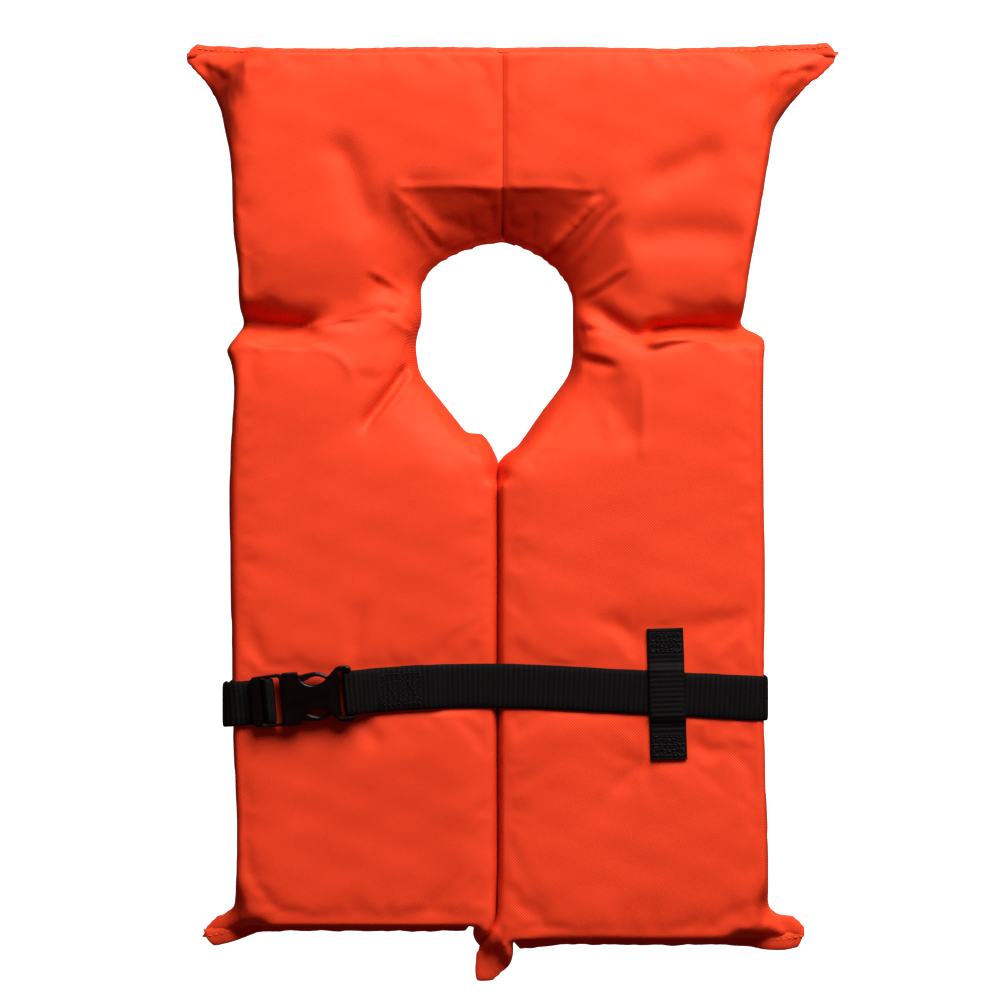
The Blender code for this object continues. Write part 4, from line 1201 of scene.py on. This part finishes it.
def adjuster_run():
    """The belt's free end: up round the left side, through the adjuster, and back as the tail."""
    bar = on_axis(ADJUSTER_BAR_S)
    turn = ADJUSTER_BAR_RADIUS + LAYER_GAP + WEBBING / 2
    tail_x = -BELT_SIDE_X - WEBBING - 1.0
    corners = [
        (BELT_JOIN_X - 0.6, UNDER_LAYER_Z, 0),
        (-BELT_SIDE_X, UNDER_LAYER_Z, 8),
        (-BELT_SIDE_X, LOW_LAYER_Z, 8),
        (bar + turn, LOW_LAYER_Z, 2),
        (bar + turn, BUCKLE_Z + turn, turn - 0.2),
        (bar - turn, BUCKLE_Z + turn, turn - 0.2),
        (bar - turn, HIGH_LAYER_Z, 1.3),
        (tail_x, HIGH_LAYER_Z, 9),
        (tail_x, TAIL_END_Z, 0),
    ]
    path = belt_path(corners)
    for point in path:
        if point.x <= tail_x + 1.0 and point.z <= MID_Z:
            point.y = float(belt_line(tail_x))
    made = webbing("belt_free_end", path, belt_across, BELT_WIDTH)
    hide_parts("belt_adjuster_run")
    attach(made, "buckle_male")


def tab_x(y):
    """X of the tab's middle at a place along Y."""
    slope = (TAB_TOP[0] - TAB_BOTTOM[0]) / (TAB_TOP[1] - TAB_BOTTOM[1])
    return TAB_BOTTOM[0] + slope * (y - TAB_BOTTOM[1])


def keeper_tab():
    """The tab over the belt, sewn down above and below it."""
    crossing = float(belt_line((TAB_TOP[0] + TAB_BOTTOM[0]) / 2))
    half = BELT_WIDTH / 2
    corners = [
        (TAB_BOTTOM[1], LOW_LAYER_Z, 0),
        (crossing - half - 5, LOW_LAYER_Z, 4),
        (crossing - half - 1, HIGH_LAYER_Z, 4),
        (crossing + half + 1, HIGH_LAYER_Z, 4),
        (crossing + half + 5, LOW_LAYER_Z, 4),
        (TAB_TOP[1], LOW_LAYER_Z, 0),
    ]
    path = [Vector((tab_x(p.x), p.x, p.y)) for p in rounded_path(corners)]
    made = webbing("keeper_tab", path, lambda point: Vector((1.0, 0.0, 0.0)), TAB_WIDTH)
    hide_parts("belt_keeper_tab")
    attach(made, "fronts")


# ---- building it all

left_cover = sewn_cover("cover_left", LEFT, LEFT_CLOTH)
right_cover = sewn_cover("cover_right", RIGHT, RIGHT_CLOTH)
finish_cover(left_cover, "left")
finish_cover(right_cover, "right")


def sewn_lip(name, runs, z_of, body, node_name, seed, reach=3.4, stitched=()):
    """The strip of joined edges that shows past a closed end, stitched on the given X spans."""
    line = curve_through(runs, 1.2)
    lip = strip(name, line, -5.0, reach, z_of, LIP_CLOTH, seed=seed)
    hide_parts(node_name)
    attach(lip, body)
    for k, (low, high) in enumerate(stitched):
        chosen = line[(line[:, 0] >= low) & (line[:, 0] <= high)]
        for face, up in (("upper", 1), ("lower", -1)):
            path = [(x, y + 0.9, z_of((x, y)) + up * 1.0) for x, y in chosen]
            row = stitch_row(f"{name}_stitches_{face}_{k}", path, (0, 0, 1), ORANGE_THREAD)
            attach(row, body)


def plain(points):
    """The points without their corner marks."""
    return [p[:2] for p in points]


top_run = [(196.6, 266.8)] + plain(TOP_RIGHT[-2:0:-1]) + plain(TOP_LEFT[:-1]) + [(-180.2, 266.2)]
sewn_lip("top_closure_lip", top_run, lambda p: MID_Z, "headrest", "headrest_closure_lip", 3,
         stitched=((-178, 194),))
sewn_lip("left_hem_closure_lip", [(-169.8, -249.5)] + plain(LEFT_HEM[5:12]), LEFT.edge_height, "fronts",
         "left_hem_lip", 7, reach=5.4, stitched=((-169, -142),))
sewn_lip("right_hem_closure_lip", plain(RIGHT_HEM[13:3:-1]) + [(177.6, -249.1)], RIGHT.edge_height, "fronts",
         "right_hem_lip", 9, reach=5.4, stitched=((150, 178),))

nape_run = curve_through([(-8.5, 151.4), (BACK_SEAM_X, 153.8), (14.5, 150.0)], 1.2)
nape_lip = strip("nape_seam_lip", nape_run, -17.0, 0.2, lambda p: MID_Z, LIP_CLOTH, wave=0.1)
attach(nape_lip, "headrest")

belt()
adjuster_run()
keeper_tab()


def box_stitches(name, point_at, low, high, half_width, z, body):
    """Two boxes of thread with crosses in them, sewn through a strap from low to high along it."""
    middle = (low + high) / 2
    for k, (start, end) in enumerate(((low, middle - 0.6), (middle + 0.6, high))):
        a, b, c, d = (start, -half_width), (end, -half_width), (end, half_width), (start, half_width)
        path = [(*point_at(along, across), z) for along, across in (a, b, c, d, a, c, d, b)]
        row = stitch_row(f"{name}_{k}", path, (0, 0, 1), BLACK_THREAD, length=2.0, gap=0.7, radius=0.36)
        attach(row, body)


def on_belt(x, off):
    return x, float(belt_line(x)) + off


def on_tab(y, off):
    return tab_x(y) + off, y


near, far = TAB_BOX_SPAN
for name, point_at, low, high, half_width, z in (
    ("belt_box_stitches", on_belt, *BELT_BOX_SPAN, BELT_WIDTH / 2 - BOX_INSET, HIGH_LAYER_Z),
    ("tab_top_stitches", on_tab, TAB_TOP[1] - far, TAB_TOP[1] - near, TAB_BOX_HALF, LOW_LAYER_Z),
    ("tab_bottom_stitches", on_tab, TAB_BOTTOM[1] + near, TAB_BOTTOM[1] + far, TAB_BOX_HALF, LOW_LAYER_Z),
):
    box_stitches(name, point_at, low, high, half_width, z + STITCH_RISE, "fronts")


def foam_slab(node_name):
    """A die-cut foam slab with softened edges, pressed a little thinner by the cover."""
    bm = bmesh.new()
    bm.from_mesh(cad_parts[node_name].data)
    bmesh.ops.remove_doubles(bm, verts=bm.verts, dist=0.01 * MM)
    bmesh.ops.dissolve_limit(bm, angle_limit=math.radians(3), verts=bm.verts, edges=bm.edges)
    for vertex in bm.verts:
        if "headrest" in node_name:
            vertex.co.y = max(vertex.co.y, SHIFT_Y + FOLD_CLEAR[1] * MM)
        else:
            vertex.co.y = min(vertex.co.y, SHIFT_Y + FOLD_CLEAR[0] * MM)
    bmesh.ops.bevel(bm, geom=bm.edges, offset=FOAM_ROUND * MM, segments=2, profile=0.5, affect="EDGES",
                    clamp_overlap=True)
    middle = Vector(np.mean([v.co for v in bm.verts], axis=0)[:2])
    for vertex in bm.verts:
        vertex.co.z = MID_Z * MM + (vertex.co.z - MID_Z * MM) * FOAM_KEEP
        vertex.co.xy = middle + (vertex.co.xy - middle) * FOAM_SCALE
    made = object_from(bm, node_name + "_slab", FOAM)
    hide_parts(node_name)
    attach(made, "headrest" if "headrest" in node_name else "fronts")


for node_name in sorted(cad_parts):
    if "foam" in node_name:
        foam_slab(node_name)

for node_name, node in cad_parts.items():
    finishes = (("foam", FOAM), ("buckle", ACETAL), ("belt", STRAP), ("", LIP_CLOTH))
    node.data.materials.clear()
    node.data.materials.append(next(finish for word, finish in finishes if word in node_name))

# ---- floor, light and camera


def stage():
    """A pale floor that glows as the background does and lights nothing."""
    pale = Finish("pale_floor")
    speck = pale.noise(2.5 * MM, 3)
    pale.set(Base_Color=pale.ramp(speck, (0.3, (0.20, 0.20, 0.20)), (0.7, (0.22, 0.22, 0.22))))
    pale.set(Roughness=pale.range(speck, 0.9, 0.8), Emission_Color=(1.0, 1.0, 1.0, 1.0))
    pale.set(Emission_Strength=FLOOR_GLOW)
    bpy.ops.mesh.primitive_plane_add(size=8.0, location=(0, 0, -0.0004))
    floor = bpy.context.object
    floor.name = "floor"
    floor.visible_diffuse = floor.visible_glossy = False
    floor.data.materials.append(pale.material)


def light():
    """One large soft key, and a weak warm fill that the camera does not see."""
    lamp = bpy.data.lights.new("key", "AREA")
    lamp.shape, lamp.size, lamp.energy = "DISK", KEY_SIZE, KEY_POWER
    key = linked("key", lamp)
    key.location = KEY_DIRECTION * KEY_DISTANCE
    key.rotation_euler = KEY_DIRECTION.to_track_quat("Z", "Y").to_euler()
    world = bpy.data.worlds.new("soft_fill")
    world.use_nodes = True
    nodes, links = world.node_tree.nodes, world.node_tree.links
    fill = nodes["Background"]
    fill.inputs["Color"].default_value = FILL_COLOUR
    fill.inputs["Strength"].default_value = FILL_STRENGTH
    seen = nodes.new("ShaderNodeBackground")
    seen.inputs["Color"].default_value = (BACKGROUND, BACKGROUND, BACKGROUND, 1.0)
    mix = nodes.new("ShaderNodeMixShader")
    links.new(nodes.new("ShaderNodeLightPath").outputs["Is Camera Ray"], mix.inputs["Fac"])
    links.new(fill.outputs[0], mix.inputs[1])
    links.new(seen.outputs[0], mix.inputs[2])
    links.new(mix.outputs[0], nodes["World Output"].inputs["Surface"])
    bpy.context.scene.world = world
    bpy.context.scene.view_settings.view_transform = "Standard"
    bpy.context.scene.view_settings.look = "High Contrast"


def camera():
    """Straight above: the picture is VIEW_WIDTH across at the height SUBJECT_Z."""
    lens = bpy.data.cameras.new("camera")
    lens.sensor_width = 36.0
    lens.lens = lens.sensor_width * (CAMERA_HEIGHT - SUBJECT_Z) / VIEW_WIDTH
    eye = linked("camera", lens)
    eye.location = (VIEW_CENTRE[0], VIEW_CENTRE[1], CAMERA_HEIGHT)
    bpy.context.scene.camera = eye


stage()
light()
camera()
